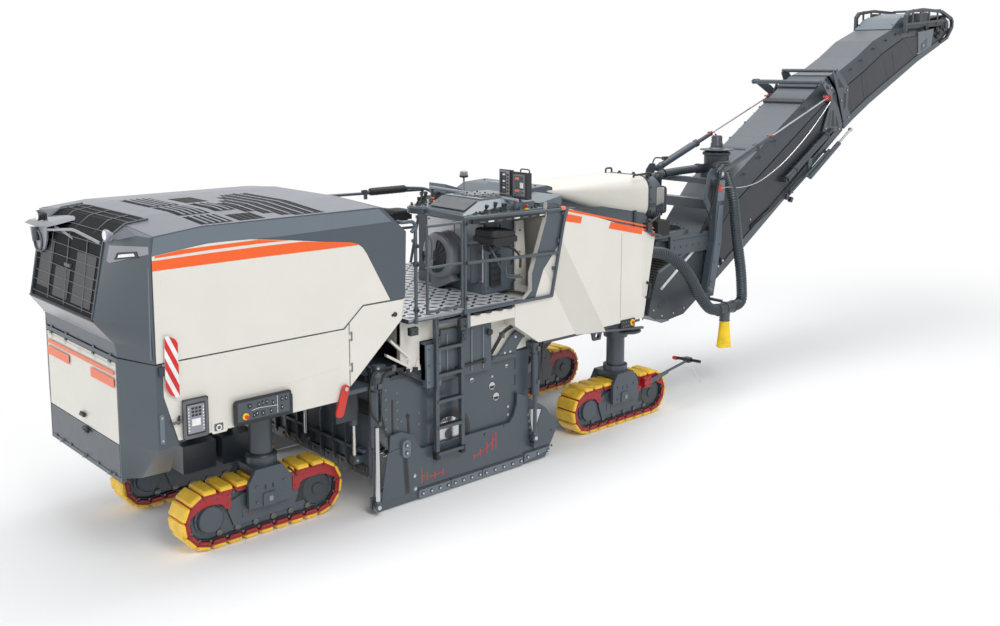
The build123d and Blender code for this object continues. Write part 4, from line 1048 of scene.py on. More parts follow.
def desk():
    """Narrow right wing with its light bar, the raised middle pod, and the left wing with its round nose."""
    nose = [(2.385 - 0.17 * math.cos(a), -0.12 + 0.17 * math.sin(a))
        for a in (math.pi * k / 10 - math.pi / 3 for k in range(9))]
    outline = [(2.175, -1.186), (3.25, -1.186), (3.25, 0.302), (2.785, 0.302)] + nose[::-1] + [(2.29, -0.3)]
    shape = Shape()
    shape.plan(outline, desk_z - 0.072, desk_z - 0.004, "slate_paint")
    shape.block(2.65, 3.14, -0.85, 0.3, floor_z, desk_z - 0.071, "slate_paint")
    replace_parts(shape.finish("desk_base", "chassis", 0.01, 3), "console")
    shape = Shape()
    # Tops of both wings in the lighter slate: painted light on faces turned to the sky.
    shape.plan(rect(2.235, 3.24, -1.18, -1.078), desk_z - 0.005, desk_z + 0.006, "slate_light")
    inner = [(2.395 - 0.155 * math.cos(a), -0.12 + 0.155 * math.sin(a))
        for a in (math.pi * k / 10 - math.pi / 3 for k in range(9))]
    shape.plan([(3.235, -0.29), (3.235, 0.288), (2.79, 0.288)] + inner[::-1] + [(2.33, -0.29)],
        desk_z - 0.005, desk_z + 0.006, "slate_light")
    shape.side([(2.18, 2.79), (3.27, 2.772), (3.27, 2.846), (2.18, 2.856)], -1.225, -1.19, "black_plastic")
    for i in range(8):
        x = 2.27 + i * 0.122
        shape.block(x, x + 0.075, -1.229, -1.222, 2.793, 2.807,
            "lamp_glass" if i % 3 == 1 else "grey_plastic")
    z = desk_z + 0.005
    for x, y, tall in ((2.435, -1.13, 0.095), (2.56, -1.125, 0.115), (2.66, -1.14, 0.095),
            (2.72, -1.105, 0.085), (2.33, -0.115, 0.095), (2.44, -0.05, 0.095), (2.56, 0.06, 0.125),
            (2.79, 0.15, 0.095), (2.86, 0.2, 0.085)):
        joystick(shape, x, y, z, tall)
    for i, (x, y) in enumerate([(2.27, -1.13), (2.32, -1.11), (2.37, -1.15), (2.38, -1.1), (2.5, -1.16),
            (2.61, -1.1), (2.78, -1.15), (2.83, -1.11), (2.88, -1.15), (2.93, -1.11), (3.1, -1.13),
            (3.16, -1.13), (2.38, -0.19), (2.3, -0.04), (2.47, -0.15), (2.64, 0.02), (2.7, 0.14),
            (2.86, 0.1), (2.95, 0.16), (2.55, -0.06)]):
        knob(shape, x, y, z, 0.01 + 0.003 * (i % 3), 0.024 + 0.01 * (i % 2), "black_plastic")
    stop_button(shape, 3.02, -1.13, z)
    stop_button(shape, 2.69, 0.08, z)
    shape.finish("desk_wings", "chassis")

    pod = Shape()
    crest = [(2.29, desk_z - 0.002), (3.19, desk_z - 0.002), (3.19, 2.992), (2.52, 2.982)]
    near_end = [(2.185, desk_z - 0.002), (3.19, desk_z - 0.002), (3.19, 2.94), (2.6, 2.905), (2.4, 2.93)]
    pod.solid([[(x, -0.3, z) for x, z in crest], [(x - 0.02, -0.96, z) for x, z in crest]], "slate_paint")
    # Near end and top of the pod in the lighter slate: painted light.
    pod.solid([[(2.265, -0.955, desk_z - 0.002), (3.19, -0.955, desk_z - 0.002), (3.19, -0.955, 2.992),
        (2.5, -0.955, 2.982)], [(x, -1.072, z) for x, z in near_end[:4]]], "slate_light")
    pod.solid([[(2.33, -0.33, 2.888), (2.51, -0.33, 2.979), (2.512, -0.33, 2.988), (2.326, -0.33, 2.894)],
        [(2.31, -0.93, 2.888), (2.49, -0.93, 2.979), (2.492, -0.93, 2.988), (2.306, -0.93, 2.894)]],
        "grey_plastic")
    pod.plan(rect(2.53, 3.15, -0.33, -0.93), 2.98, 2.996, "slate_light")
    for i in range(4):
        y = -0.42 - i * 0.135
        pod.block(2.62, 2.7, y - 0.045, y + 0.045, 2.994, 3.001, "black_plastic")
        for k in range(3):
            knob(pod, 2.78 + 0.075 * k, y, 2.995, 0.01, 0.014, "black_plastic")
    for y in (-0.4, -0.56, -0.72, -0.88):
        pod.bolt((2.4, y, 2.928), (-0.45, 0, 0.9), 0.011, 0.006, "black_plastic")
    pod.solid([[(x, y, z) for x, z in ((2.66, 2.996), (2.98, 2.996), (2.98, 3.001), (2.66, 3.001))]
        for y in (-0.66, -0.9)], "black_plastic")
    pod.finish("desk_pod", "chassis", 0.005)


def displays():
    """Twin control screens on one post, under a wire hoop."""
    shape = Shape()
    shape.bar((3.05, -0.95, desk_z), (3.05, -0.95, 3.0), 0.022, "black_plastic")
    shape.block(3.03, 3.075, -1.12, -0.76, 3.03, 3.075, "black_plastic")
    shape.side([(2.99, 2.985), (3.046, 2.985), (3.046, 3.268), (2.99, 3.275)], -0.905, -0.725,
        "black_plastic")
    shape.block(2.98, 2.992, -0.895, -0.735, 3.0, 3.262, "silver_and_highlight")
    shape.block(2.976, 2.982, -0.845, -0.75, 3.018, 3.245, "black_plastic")
    for i in range(6):
        z = 3.03 + i * 0.036
        shape.block(2.973, 2.978, -0.836, -0.796, z, z + 0.02, "white" if i % 2 else "grey_plastic")
        shape.block(2.972, 2.982, -0.884, -0.864, z, z + 0.018, "black_plastic")
        if i < 3:
            shape.lathe((2.977, -0.772, z + 0.07), (-0.01, 0, 0), [(0.008, 0), (0.006, 1)], "black_plastic",
                12)
    shape.side([(2.982, 2.968), (3.05, 2.968), (3.05, 3.255), (2.982, 3.262)], -1.18, -0.93,
        "black_plastic")
    shape.block(2.977, 2.984, -1.15, -0.96, 2.995, 3.24, "grey_plastic")
    shape.block(2.974, 2.979, -1.135, -0.985, 3.01, 3.225, "mirror_glass")
    for z, material in ((3.175, "pale_orange"), (3.045, "pale_orange")):
        shape.block(2.971, 2.976, -1.06, -1.0, z, z + 0.03, material)
    shape.block(2.971, 2.976, -1.125, -1.075, 3.09, 3.15, "white")
    hoop = [(3.045, -1.15, 3.24), (3.045, -1.15, 3.29), (3.045, -1.01, 3.29), (3.045, -1.01, 3.24)]
    shape.tube(hoop, 0.008, "slate_paint", 10, 0.03)
    shape.tube([(3.05, -0.95, 3.0), (3.1, -0.93, 2.93), (3.16, -0.9, 2.88)], 0.009, "black_rubber", 8, 0.04)
    shape.finish("displays", "chassis", 0.004)


def beyond_desk():
    """Hand rail ahead of the desk, beacon, cowls over the foot of the conveyor and a cream post."""
    shape = Shape()
    shape.bar((2.85, 0.32, 2.995), (2.85, -1.18, 2.975), 0.019, "silver_and_highlight")
    for y in (0.29, -0.33, -0.86):
        shape.block(2.835, 2.865, y - 0.012, y + 0.012, 2.86, 2.99, "slate_paint")
    shape.bar((2.85, -1.13, 2.862), (2.85, -1.13, 2.976), 0.015, "slate_paint", 12)
    # Upper faces of the cowls in the lighter slate: painted light.
    shape.side([(3.09, 2.9), (3.35, 2.9), (3.35, 2.935), (3.09, 3.012)], 0.34, 0.65, "slate_light")
    shape.side([(3.14, 2.78), (3.35, 2.78), (3.35, 2.9), (3.09, 2.9)], 0.31, 0.64, "slate_paint")
    shape.block(3.02, 3.14, 0.3, 0.64, 1.93, 2.86, "slate_paint")
    shape.side([(3.3, 2.86), (3.56, 2.99), (3.9, 3.01), (3.98, 2.985), (3.98, 2.8), (3.3, 2.7)], -0.56,
        0.56, "slate_paint")
    shape.side([(3.36, 2.9), (3.52, 3.035), (3.7, 3.035), (3.76, 2.99)], -0.33, 0.06, "slate_light")
    shape.side([(3.3, 2.8), (3.64, 2.86), (3.64, 2.96), (3.3, 2.9)], -1.05, -0.6, "slate_light")
    for y in (-0.45, -0.15, 0.15, 0.45):
        shape.bolt((3.8, y, 3.006), (0, 0, 1), 0.013, 0.008)
    shape.side([(3.06, 1.93), (3.22, 1.93), (3.22, 2.2), (3.18, 2.71), (3.06, 2.71)], -0.915, -0.885,
        "cream_paint")
    shape.side([(3.06, 1.93), (3.24, 1.93), (3.24, 1.96), (3.09, 2.0)], -1.15, -0.9, "cream_paint")
    for z in (2.1, 2.36, 2.6):
        shape.bolt((3.12, -0.915, z), (0, -1, 0))
        shape.tube([(3.06, -0.905, z - 0.05), (2.96, -0.96, z - 0.06), (2.9, -1.02, z - 0.1)], 0.011,
            "dark_paint", 8, 0.05)
    shape.finish("desk_back", "chassis", 0.006)
    light = Shape()
    light.bar((3.09, 0, 2.96), (3.09, 0, 3.125), 0.012, "silver_and_highlight", 12)
    light.lathe((3.09, 0, 3.118), (0, 0, 0.022), [(0.04, 0), (0.052, 0.3), (0.052, 1)], "black_plastic")
    light.lathe((3.09, 0, 3.139), (0, 0, 0.056), [(0.046, 0), (0.048, 0.1), (0.044, 0.8), (0.032, 0.96),
        (0.01, 1)], "silver_and_highlight")
    light.finish("beacon", "chassis", 0.001, slot="black_plastic")


def barrel():
    """Drum-shaped air cleaner: banded silver shell, end cover with a dark ribbed half, foot sheets."""
    low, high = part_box("air_cleaner")
    cy, cz = (low[1] + high[1]) / 2, (low[2] + high[2]) / 2
    radius = (high[1] - low[1]) / 2
    rear, deep = low[0] - datum, high[0] - low[0]
    shape = Shape()
    shape.lathe((rear + deep, cy, cz), (-deep, 0, 0), [(radius - 0.003, 0), (radius - 0.003, 0.84),
        (radius - 0.014, 0.93), (radius - 0.035, 1)], "silver_and_highlight", 56)
    for share in (0.15, 0.8):
        shape.ring((rear + deep * (1 - share), cy, cz), (1, 0, 0), radius - 0.002, 0.006, "silver_and_highlight",
            48)
    disc = [(cy + (radius - 0.07) * math.cos(a), cz + (radius - 0.07) * math.sin(a))
        for a in (math.pi * k / 20 + math.pi * 0.58 for k in range(21))]
    shape.face(disc, rear - 0.012, rear + 0.01, "dark_paint")
    for i in range(9):
        a = math.pi * (i / 8) + math.pi * 0.58
        shape.bar((rear - 0.014, cy, cz), (rear - 0.014, cy + (radius - 0.08) * math.cos(a),
            cz + (radius - 0.08) * math.sin(a)), 0.007, "black_plastic", 8)
    shape.lathe((rear - 0.002, cy, cz), (-0.024, 0, 0), [(0.06, 0), (0.06, 0.6), (0.045, 1)], "dark_paint")
    shape.face([(cy - 0.22, floor_z + 0.12), (cy + 0.06, floor_z), (cy + 0.16, floor_z),
        (cy + 0.16, cz - 0.15), (cy - 0.12, cz - 0.18)], rear + 0.06, rear + 0.17, "silver_and_highlight")
    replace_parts(shape.finish("air_barrel", "chassis", slot="bare_metal"), "air_cleaner")
    wall = Shape()
    x = 2.65
    for y0, y1, z0, z1 in ((-0.846, -0.38, 2.06, 2.7), (-0.366, 0.11, 2.06, 2.7)):
        wall.block(x - 0.014, x + 0.002, y0, y1, z0, z1, "bare_metal")
    wall.block(x - 0.01, x + 0.002, -0.846, 0.296, 1.93, 2.05, "slate_light")
    wall.block(x - 0.12, x - 0.012, -0.78, -0.61, 2.06, 2.49, "slate_paint")
    wall.block(x - 0.126, x - 0.119, -0.765, -0.625, 2.09, 2.46, "slate_light")
    for y in (-0.82, -0.41, -0.34, 0.08):
        for z in (2.09, 2.4, 2.67):
            wall.bolt((x - 0.014, y, z), (-1, 0, 0), 0.01)
    wall.side([(2.66, 1.94), (3.12, 1.94), (3.12, 2.7), (2.66, 2.76)], -0.858, -0.846, "slate_light")
    for x in (2.7, 2.9, 3.08):
        for z in (2.0, 2.3, 2.62):
            wall.bolt((x, -0.858, z), (0, -1, 0), 0.01)
    wall.side(rect(2.72, 2.86, 2.02, 2.36), -0.9, -0.856, "dark_paint")
    for z in (2.06, 2.13, 2.2, 2.27):
        wall.block(2.735, 2.845, -0.912, -0.9, z, z + 0.03, "black_plastic")
    wall.tube([(2.79, -0.89, 2.36), (2.79, -0.9, 2.44), (2.84, -0.91, 2.52), (2.84, -0.9, 2.7)], 0.01,
        "black_rubber", 8, 0.06)
    wall.finish("desk_walls", "chassis")


def ladder_rungs():
    """Serrated treads, hand holds and rubber feet of the ladders."""
    shape = Shape()
    for side in (-1, 1):
        for step in range(6):
            z = 0.47 + step * 0.275
            for i in range(11):
                x = 1.74 + i * 0.0285
                shape.block(x, x + 0.014, side * 1.162, side * 1.223, z - 0.002, z + 0.007, "dark_paint")
        for x in (1.71, 2.045):
            shape.block(x - 0.026, x + 0.026, side * 1.16, side * 1.22, 0.397, 0.48, "black_rubber")
            shape.block(x - 0.03, x + 0.03, side * 1.215, side * 1.238, 1.6, 1.7, "dark_paint")
            shape.bolt((x, side * 1.238, 1.65), (0, side, 0))
    shape.finish("ladder_treads", "chassis", 0)


def gate_latches():
    """Spring latches and stops of the gates."""
    for name, side in (("gate_right", -1), ("gate_left", 1)):
        y = side * rail_side
        shape = Shape()
        shape.block(1.492, 1.528, y - 0.018, y + 0.018, 2.5, 2.6, "dark_paint")
        shape.lathe((1.5, y + side * 0.014, 2.55), (0, side * 0.018, 0), [(0.016, 0), (0.014, 1)],
            "black_plastic")
        shape.tube([(1.518, y, 2.42), (1.6, y, 2.5), (1.6, y, 2.7), (1.535, y, 2.76)], 0.01, "slate_paint",
            10, 0.05)
        shape.finish(name + "_latch", name, slot="black_plastic")


tread_plate()
platform_edges()
rail_fittings()
seats()
desk()
displays()
beyond_desk()
barrel()
ladder_rungs()
gate_latches()


# ---------------------------------------------------------------- front body and primary conveyor
fold_x, fold_slope = 4.78, 0.3095          # the front corners are cut back ahead of this station
chute_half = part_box("primary_conveyor")[1][1]


def front_y(side, x):
    return side * (body_half - max(0.0, x - fold_x) * fold_slope)


def front_skin(shape, outline, side, material, thick=0.0035):
    """Film on the side of the front body, bent round its cut corner; the outline runs counter-clockwise."""
    for low, high in ((3.0, fold_x), (fold_x, 5.4)):
        part = clip(outline, rect(low, high, 1.0, 3.2))
        if len(part) > 2:
            shape.solid([[(x, front_y(side, x) - side * 0.002, z) for x, z in part],
                [(x, front_y(side, x) + side * thick, z) for x, z in part]], material)


pillar = [(3.22, 2.935), (3.21, 2.77), (2.992, 2.18), (2.992, 1.99), (2.862, 1.887), (3.03, 1.887),
    (3.16, 2.2), (3.45, 2.51), (3.5, 2.7), (3.549, 2.838), (3.4, 2.882)]
pillar_left = [(3.652, 2.802), (3.652, 1.89), (3.72, 1.89), (3.76, 2.3), (3.86, 2.56), (3.9, 2.728)]
for side_name, side in (("right", -1), ("left", 1)):
    film = Shape()
    outline = pillar if side < 0 else pillar_left
    film.side(outline, side * (body_half - 0.002), side * (body_half + 0.0035), "slate_paint")
    start = 3.545 if side < 0 else 3.905
    above = (start - 3.545) * 0.2265
    front_skin(film, [(start, 2.801 - above), (5.145, 2.438), (5.11, 2.462), (start, 2.829 - above)], side,
        "orange_paint")
    if side < 0:
        front_skin(film, [(3.497, 2.7), (3.739, 2.651), (3.762, 2.724), (3.527, 2.778)], side,
            "orange_paint")
        front_skin(film, [(4.203, 2.549), (4.932, 2.385), (5.168, 2.33), (5.155, 2.405), (4.932, 2.463),
            (4.243, 2.619)], side, "orange_paint")
        # Darker cream below the pillar: painted shade.
        front_skin(film, [(3.681, 1.384), (4.15, 1.345), (4.175, 1.345), (3.447, 2.5), (3.17, 2.215)], side,
            "shaded_cream", 0.001)
    else:
        front_skin(film, [(3.905, 2.61), (4.932, 2.385), (5.168, 2.33), (5.155, 2.405), (4.932, 2.463),
            (3.905, 2.688)], side, "orange_paint")
        # Darker cream below the pillar: painted shade.
        front_skin(film, [(3.681, 1.384), (4.175, 1.345), (3.74, 2.03), (3.725, 1.9), (3.652, 1.89),
            (3.652, 1.44)], side, "shaded_cream", 0.001)
    for row in range(3):
        for column in range(13):
            x = 4.9 + column * 0.0195 + (row % 2) * 0.01
            z = 2.408 + row * 0.021 - (x - 4.9) * 0.235
            y = front_y(side, x) + side * 0.0035
            film.bar((x, y, z), (x, y + side * 0.0012, z), 0.006, "red_paint", 6)
    film.side([(4.424, 1.459), (4.428, 1.459), (4.436, 2.47), (4.432, 2.47)], side * (body_half - 0.001),
        side * (body_half + 0.0012), "grey_plastic")
    film.finish("front_body_film_" + side_name, "chassis", 0, slot="orange_paint")

    shape = Shape()
    # Dark cover plate that follows the falling top.
    rear = (3.4, 2.884) if side < 0 else (3.65, 2.809)
    top_line = [rear, (3.655, 2.808), (5.178, 2.349)] if side < 0 else [rear, (5.178, 2.349)]
    lid = [(x, z - 0.003) for x, z in top_line] + [(x, z + 0.016) for x, z in reversed(top_line)]
    shape.side(lid, side * 0.64, side * (body_half - 0.02), "slate_paint")
    for i in range(7):
        x = 3.8 + i * 0.2
        shape.bolt((x, side * 1.18, 2.808 - (x - 3.655) * 0.3014 + 0.014), (0.29, 0, 0.96), 0.012, 0.008)
    shape.block(3.66, 3.7, side * 1.1, side * 1.22, 2.8, 2.83, "dark_paint")
    # Hinge bracket and grab handle near the front edge.
    shape.side([(4.906, 2.446), (4.984, 2.42), (4.984, 2.53), (4.906, 2.555)],
        front_y(side, 4.92) - side * 0.01, front_y(side, 4.92) + side * 0.04, "dark_paint")
    shape.lathe((4.945, front_y(side, 4.945) + side * 0.01, 2.565), (0, side * 0.05, 0),
        [(0.018, 0), (0.024, 0.2), (0.024, 0.8), (0.016, 1)], "black_plastic", 16)
    y = front_y(side, 4.93)
    shape.tube([(4.95, y, 1.805), (4.962, y + side * 0.052, 1.8), (4.934, y + side * 0.052, 1.64),
        (4.922, y, 1.635)], 0.011, "black_plastic", 12, 0.025)
    for x, z in ((4.951, 1.808), (4.921, 1.632)):
        shape.lathe((x, y - side * 0.004, z), (0, side * 0.014, 0), [(0.022, 0), (0.02, 1)],
            "black_plastic", 16)
    shape.side([(4.855, 1.365), (4.872, 1.36), (4.905, 1.44), (4.888, 1.445)],
        front_y(side, 4.88) - side * 0.004, front_y(side, 4.88) + side * 0.004, "black_plastic")
    # Button box low at the front.
    shape.side(rect(4.431, 4.679, 1.33, 1.43), side * (body_half - 0.01), side * (body_half + 0.012),
        "black_plastic")
    for i in range(3):
        for k in range(2):
            x, z = 4.47 + i * 0.045, 1.355 + k * 0.045
            shape.lathe((x, side * (body_half + 0.01), z), (0, side * 0.01, 0), [(0.013, 0), (0.011, 1)],
                "grey_plastic", 14)
    shape.lathe((4.63, side * (body_half + 0.01), 1.38), (0, side * 0.012, 0), [(0.04, 0), (0.038, 1)],
        "yellow")
    shape.lathe((4.63, side * (body_half + 0.022), 1.38), (0, side * 0.02, 0),
        [(0.018, 0), (0.024, 0.5), (0.022, 0.9), (0.012, 1)], "lever_red", 20)
    # Lower edge trim and the rubber foot below the nose.
    shape.side([(3.12, 1.438), (4.86, 1.262), (4.86, 1.29), (3.12, 1.466)], side * 1.215,
        side * (body_half - 0.004), "slate_paint")
    shape.lathe((4.75, side * 1.1, 1.262), (0, 0, -0.055), [(0.12, 0), (0.15, 0.3), (0.15, 0.7), (0.11, 1)],
        "dark_paint", 28)
    # Skirts of the lower body beside the ladder.
    shape.side([(2.5, 1.31), (2.745, 1.3), (3.13, 1.33), (3.13, 1.455), (2.745, 1.885), (2.5, 1.72)],
        side * 1.0, side * 1.075, "cream_paint")
    shape.finish("front_fittings_" + side_name, "chassis", 0.004)


def head_section(x, half, low, high, radius):
    """Rounded cross-section of the conveyor cover."""
    return [(x, y, z) for y, z in rounded_box((-half, low), (half, high), radius, 5)]


def primary_cover():
    """Chute, tapered cream cover and the discharge head with its rubber curtain."""
    shape = Shape()
    chute = [(3.04, 0.7), (3.56, 0.64), (5.75, 2.18), (5.9, 2.42), (5.7, 2.64), (3.9, 2.88), (3.48, 2.76),
        (3.04, 1.6)]
    shape.side(chute, -chute_half + 0.035, chute_half - 0.035, "slate_paint")
    for side in (-1, 1):
        y = side * (chute_half - 0.036)
        for i in range(8):
            x = 3.72 + i * 0.27
            shape.block(x, x + 0.05, y, y + side * 0.02, 0.86 + (x - 3.6) * 0.703, 1.3 + (x - 3.6) * 0.62,
                "dark_paint")
        shape.side([(3.62, 0.72), (5.72, 2.2), (5.69, 2.25), (3.58, 0.78)], y, y + side * 0.03,
            "dark_paint")
    shape.solid([head_section(3.88, 0.56, 2.925, 2.962, 0.016), head_section(4.3, 0.575, 2.8, 2.968, 0.07),
        head_section(5.0, chute_half - 0.01, 2.6, 2.973, 0.13),
        head_section(5.868, chute_half - 0.002, 2.42, 2.974, 0.17)], "cream_paint")
    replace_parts(shape.finish("primary_cover", "chassis", 0.004, 2, 50, slot="cream_paint"),
        "primary_conveyor")
    head = Shape()
    head.solid([head_section(5.866, chute_half - 0.01, 2.412, 2.98, 0.175),
        head_section(5.905, chute_half - 0.01, 2.412, 2.98, 0.175)], "black_plastic")
    head.solid([head_section(5.9, chute_half - 0.03, 2.4, 2.955, 0.16),
        head_section(6.12, chute_half - 0.03, 2.36, 2.95, 0.16),
        head_section(6.255, chute_half - 0.09, 2.4, 2.88, 0.15)], "slate_paint")
    head.block(5.96, 6.2, -0.52, 0.52, 2.18, 2.38, "black_rubber")
    for side in (-1, 1):
        y = side * (chute_half - 0.03)
        for z in (2.5, 2.66, 2.82):
            head.bolt((5.96, y, z), (0, side, 0), 0.014)
            head.bolt((6.08, y, z - 0.02), (0, side, 0), 0.014)
        head.block(5.92, 6.16, y, y + side * 0.012, 2.56, 2.6, "dark_paint")
        head.tube(across(side, [(5.99, 0.44, 2.945), (5.99, 0.44, 3.01), (6.11, 0.44, 3.01),
            (6.11, 0.44, 2.94)]), 0.013, "dark_paint", 10, 0.03)
    for y in (-0.3, -0.05, 0.2):
        head.lathe((6.0, y, 2.945), (0, 0, 0.05), [(0.03, 0), (0.03, 0.6), (0.018, 0.7), (0.018, 1)],
            "dark_paint", 16)
    head.tube([(5.6, -0.4, 2.972), (5.6, -0.4, 3.0), (5.98, -0.36, 3.005), (6.06, -0.3, 2.96)], 0.014,
        "black_rubber", 10, 0.05)
    head.finish("discharge_head", "chassis", 0.006, slot="slate_paint")


def front_mirror():
    """Mirror on an arm at the right front corner, and a small convex one on the left."""
    shape = Shape()
    shape.tube([(5.02, -1.13, 2.5), (5.3, -0.98, 2.5), (5.74, -0.72, 2.5), (5.8, -0.7, 2.56)], 0.014,
        "dark_paint", 10, 0.06)
    shape.block(4.99, 5.06, -1.15, -1.09, 2.46, 2.53, "dark_paint")
    outline = [(y, z) for y, z in rounded_box((-0.79, 2.53), (-0.64, 2.88), 0.045, 4)]
    shape.face(outline, 5.765, 5.8, "black_plastic")
    inside = [(y, z) for y, z in rounded_box((-0.778, 2.544), (-0.652, 2.866), 0.036, 4)]
    shape.face(inside, 5.76, 5.768, "mirror_glass")
    shape.bar((5.785, -0.715, 2.5), (5.785, -0.715, 2.545), 0.016, "black_plastic", 12)
    shape.tube([(5.02, 1.13, 2.5), (5.24, 1.06, 2.52), (5.3, 1.05, 2.64)], 0.014, "dark_paint", 10, 0.06)
    shape.lathe((5.32, 1.05, 2.68), (-0.045, 0, 0), [(0.05, 0), (0.095, 0.5), (0.1, 1)], "black_plastic",
        28)
    shape.lathe((5.277, 1.05, 2.68), (-0.012, 0, 0), [(0.09, 0), (0.075, 0.6), (0.03, 1)], "mirror_glass",
        28)
    shape.finish("front_mirrors", "chassis", slot="black_plastic")


primary_cover()
front_mirror()


# ---------------------------------------------------------------- side plates, drum, scraper
wall_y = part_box("drum_housing")[1][1]
plate_y = 1.13
drum_z = (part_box("milling_drum")[0][2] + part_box("milling_drum")[1][2]) / 2


def disc(shape, x, y, z, side, radius, thick, material, sides=28):
    """Round flat piece on a side wall."""
    shape.bar((x, y - side * 0.001, z), (x, y + side * thick, z), radius, material, sides)


def hose(shape, points, radius=0.012):
    shape.tube(points, radius, "black_rubber", 10, 0.07)


cylinders_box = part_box("lift_cylinders")
plate_front_rod = cylinders_box[1][0] - datum - 0.048
plate_rear_rod = 0.976      # station of the plates' rear lifting rods
plate_rod_y = 1.18         # distance of the lifting rods from the middle
hub_x = 1.945               # station of the drum's drive cover


def plate_details(name, side):
    """Wear strips, arm with its slot and oval plate, scale marks, window and edge lip of a side plate."""
    y = side * plate_y
    shape = Shape()
    runs = [(1.51, 1.925), (1.935, 2.36), (2.37, 2.96), (2.985, 3.375)]
    for x0, x1 in runs:
        lift = 0.022 if x0 > 2.9 else 0.0
        shape.side([(x0, 0.014 + lift), (x1, 0.014 + lift + (0.05 if x0 > 2.9 else 0)), (x1, 0.104 + lift),
            (x0 + 0.02, 0.104 + lift), (x0, 0.09 + lift)], y - side * 0.002, y + side * 0.02, "slate_light")
        count = int((x1 - x0) / 0.1)
        for i in range(count):
            x = x0 + 0.05 + i * (x1 - x0 - 0.08) / max(1, count - 1)
            disc(shape, x, y + side * 0.02, 0.062 + lift, side, 0.022, 0.003, "dark_paint", 20)
            shape.bolt((x, y + side * 0.022, 0.062 + lift), (0, side, 0), 0.013, 0.009, "bare_metal")
        shape.side(rect(x0, x1, 0.104 + lift, 0.122 + lift), y, y + side * 0.01, "dark_paint")
    # Tapered arm with a slot and an oval two-bolt plate above it.
    shape.side([(1.05, 0.1), (1.44, 0.09), (1.455, 0.48), (1.44, 0.58), (1.24, 0.6), (1.13, 0.58)],
        y - side * 0.001, y + side * 0.007, "slate_paint")
    for z0, z1, material, thick in ((0.1, 0.51, "dark_paint", 0.01),
            (0.125, 0.485, "black_plastic", 0.0115)):
        half = 0.03 if material == "dark_paint" else 0.016
        shape.side([(1.372 - half, z0 + 0.02), (1.372 - half / 2, z0), (1.372 + half / 2, z0),
            (1.372 + half, z0 + 0.02), (1.35 + half, z1 - 0.02), (1.35 + half / 2, z1),
            (1.35 - half / 2, z1), (1.35 - half, z1 - 0.02)], y, y + side * thick, material)
    oval = [(1.35 + 0.052 * math.cos(a), 0.585 + (0.04 if math.sin(a) > 0 else -0.04) + 0.052 * math.sin(a))
        for a in (math.pi * (2 * i + 1) / 24 for i in range(24))]
    shape.side(oval, y, y + side * 0.034, "slate_light")
    for z in (0.545, 0.625):
        disc(shape, 1.35, y + side * 0.034, z, side, 0.024, 0.003, "dark_paint", 20)
        shape.bolt((1.35, y + side * 0.036, z), (0, side, 0), 0.015, 0.01, "bare_metal")
    for x, z in ((1.462, 0.268), (1.47, 0.13)):
        disc(shape, x, y, z, side, 0.03, 0.004, "slate_light", 24)
        shape.bolt((x, y + side * 0.003, z), (0, side, 0), 0.018, 0.012, "bare_metal")
    # Depth scales.
    for x, low, high in ((1.555, 0.165, 0.33), (1.625, 0.175, 0.262), (1.725, 0.165, 0.24),
            (1.835, 0.178, 0.25), (2.255, 0.235, 0.3), (2.345, 0.25, 0.335), (2.44, 0.262, 0.39),
            (2.52, 0.278, 0.452), (2.57, 0.285, 0.47)):
        shape.side(rect(x, x + 0.01, low, high), y - side * 0.001, y + side * 0.002, "lever_red")
    for curve in ([(1.56, 0.24), (1.63, 0.212), (1.73, 0.2), (1.838, 0.212)],
            [(2.26, 0.262), (2.35, 0.29), (2.445, 0.325), (2.525, 0.372), (2.575, 0.4)]):
        for (xa, za), (xb, zb) in zip(curve, curve[1:]):
            shape.side([(xa, za), (xb, zb), (xb, zb + 0.008), (xa, za + 0.008)], y - side * 0.001,
                y + side * 0.002, "lever_red")
    # Bright stepped window near the front.
    shape.side([(3.05, 0.64), (3.06, 0.28), (3.14, 0.27), (3.275, 0.59), (3.16, 0.62)], y - side * 0.001,
        y + side * 0.003, "dark_paint")
    shape.side([(3.066, 0.622), (3.128, 0.3), (3.252, 0.582)], y, y + side * 0.005, "bare_metal")
    for i in range(4):
        z = 0.56 - i * 0.075
        shape.side([(3.066 + i * 0.014, z + 0.03), (3.03 + i * 0.014, z), (3.074 + i * 0.014, z - 0.03)], y,
            y + side * 0.006, "slate_light")
    # Bolt heads over the outer face.
    for x, z in ((1.8, 0.475), (2.1, 0.455), (2.42, 0.48), (2.7, 0.52), (3.42, 0.3), (3.42, 0.12),
            (1.12, 0.14), (3.16, 0.16), (3.3, 0.78), (3.1, 0.8)):
        shape.bolt((x, y, z), (0, side, 0), 0.014, 0.009)
    # Eyes and pins at the feet of both lifting rods, and their hard chrome.
    for x, foot in ((plate_rear_rod, 0.03), (plate_front_rod, 0.24)):
        rod_y = side * plate_rod_y
        disc(shape, x, rod_y - side * 0.026, foot + 0.055, side, 0.044, 0.052, "slate_paint", 24)
        disc(shape, x, rod_y + side * 0.022, foot + 0.055, side, 0.022, 0.008, "bare_metal", 20)
        shape.lathe((x, rod_y, foot + 0.09), (0, 0, 0.03), [(0.03, 0), (0.034, 0.5), (0.026, 1)],
            "slate_paint", 20)
        shape.bar((x, rod_y, foot + 0.118), (x, rod_y, 0.9), 0.0228, "chrome_rod", 24)
    shape.finish("side_plate_details_" + name, "plate_" + name, 0.0015)


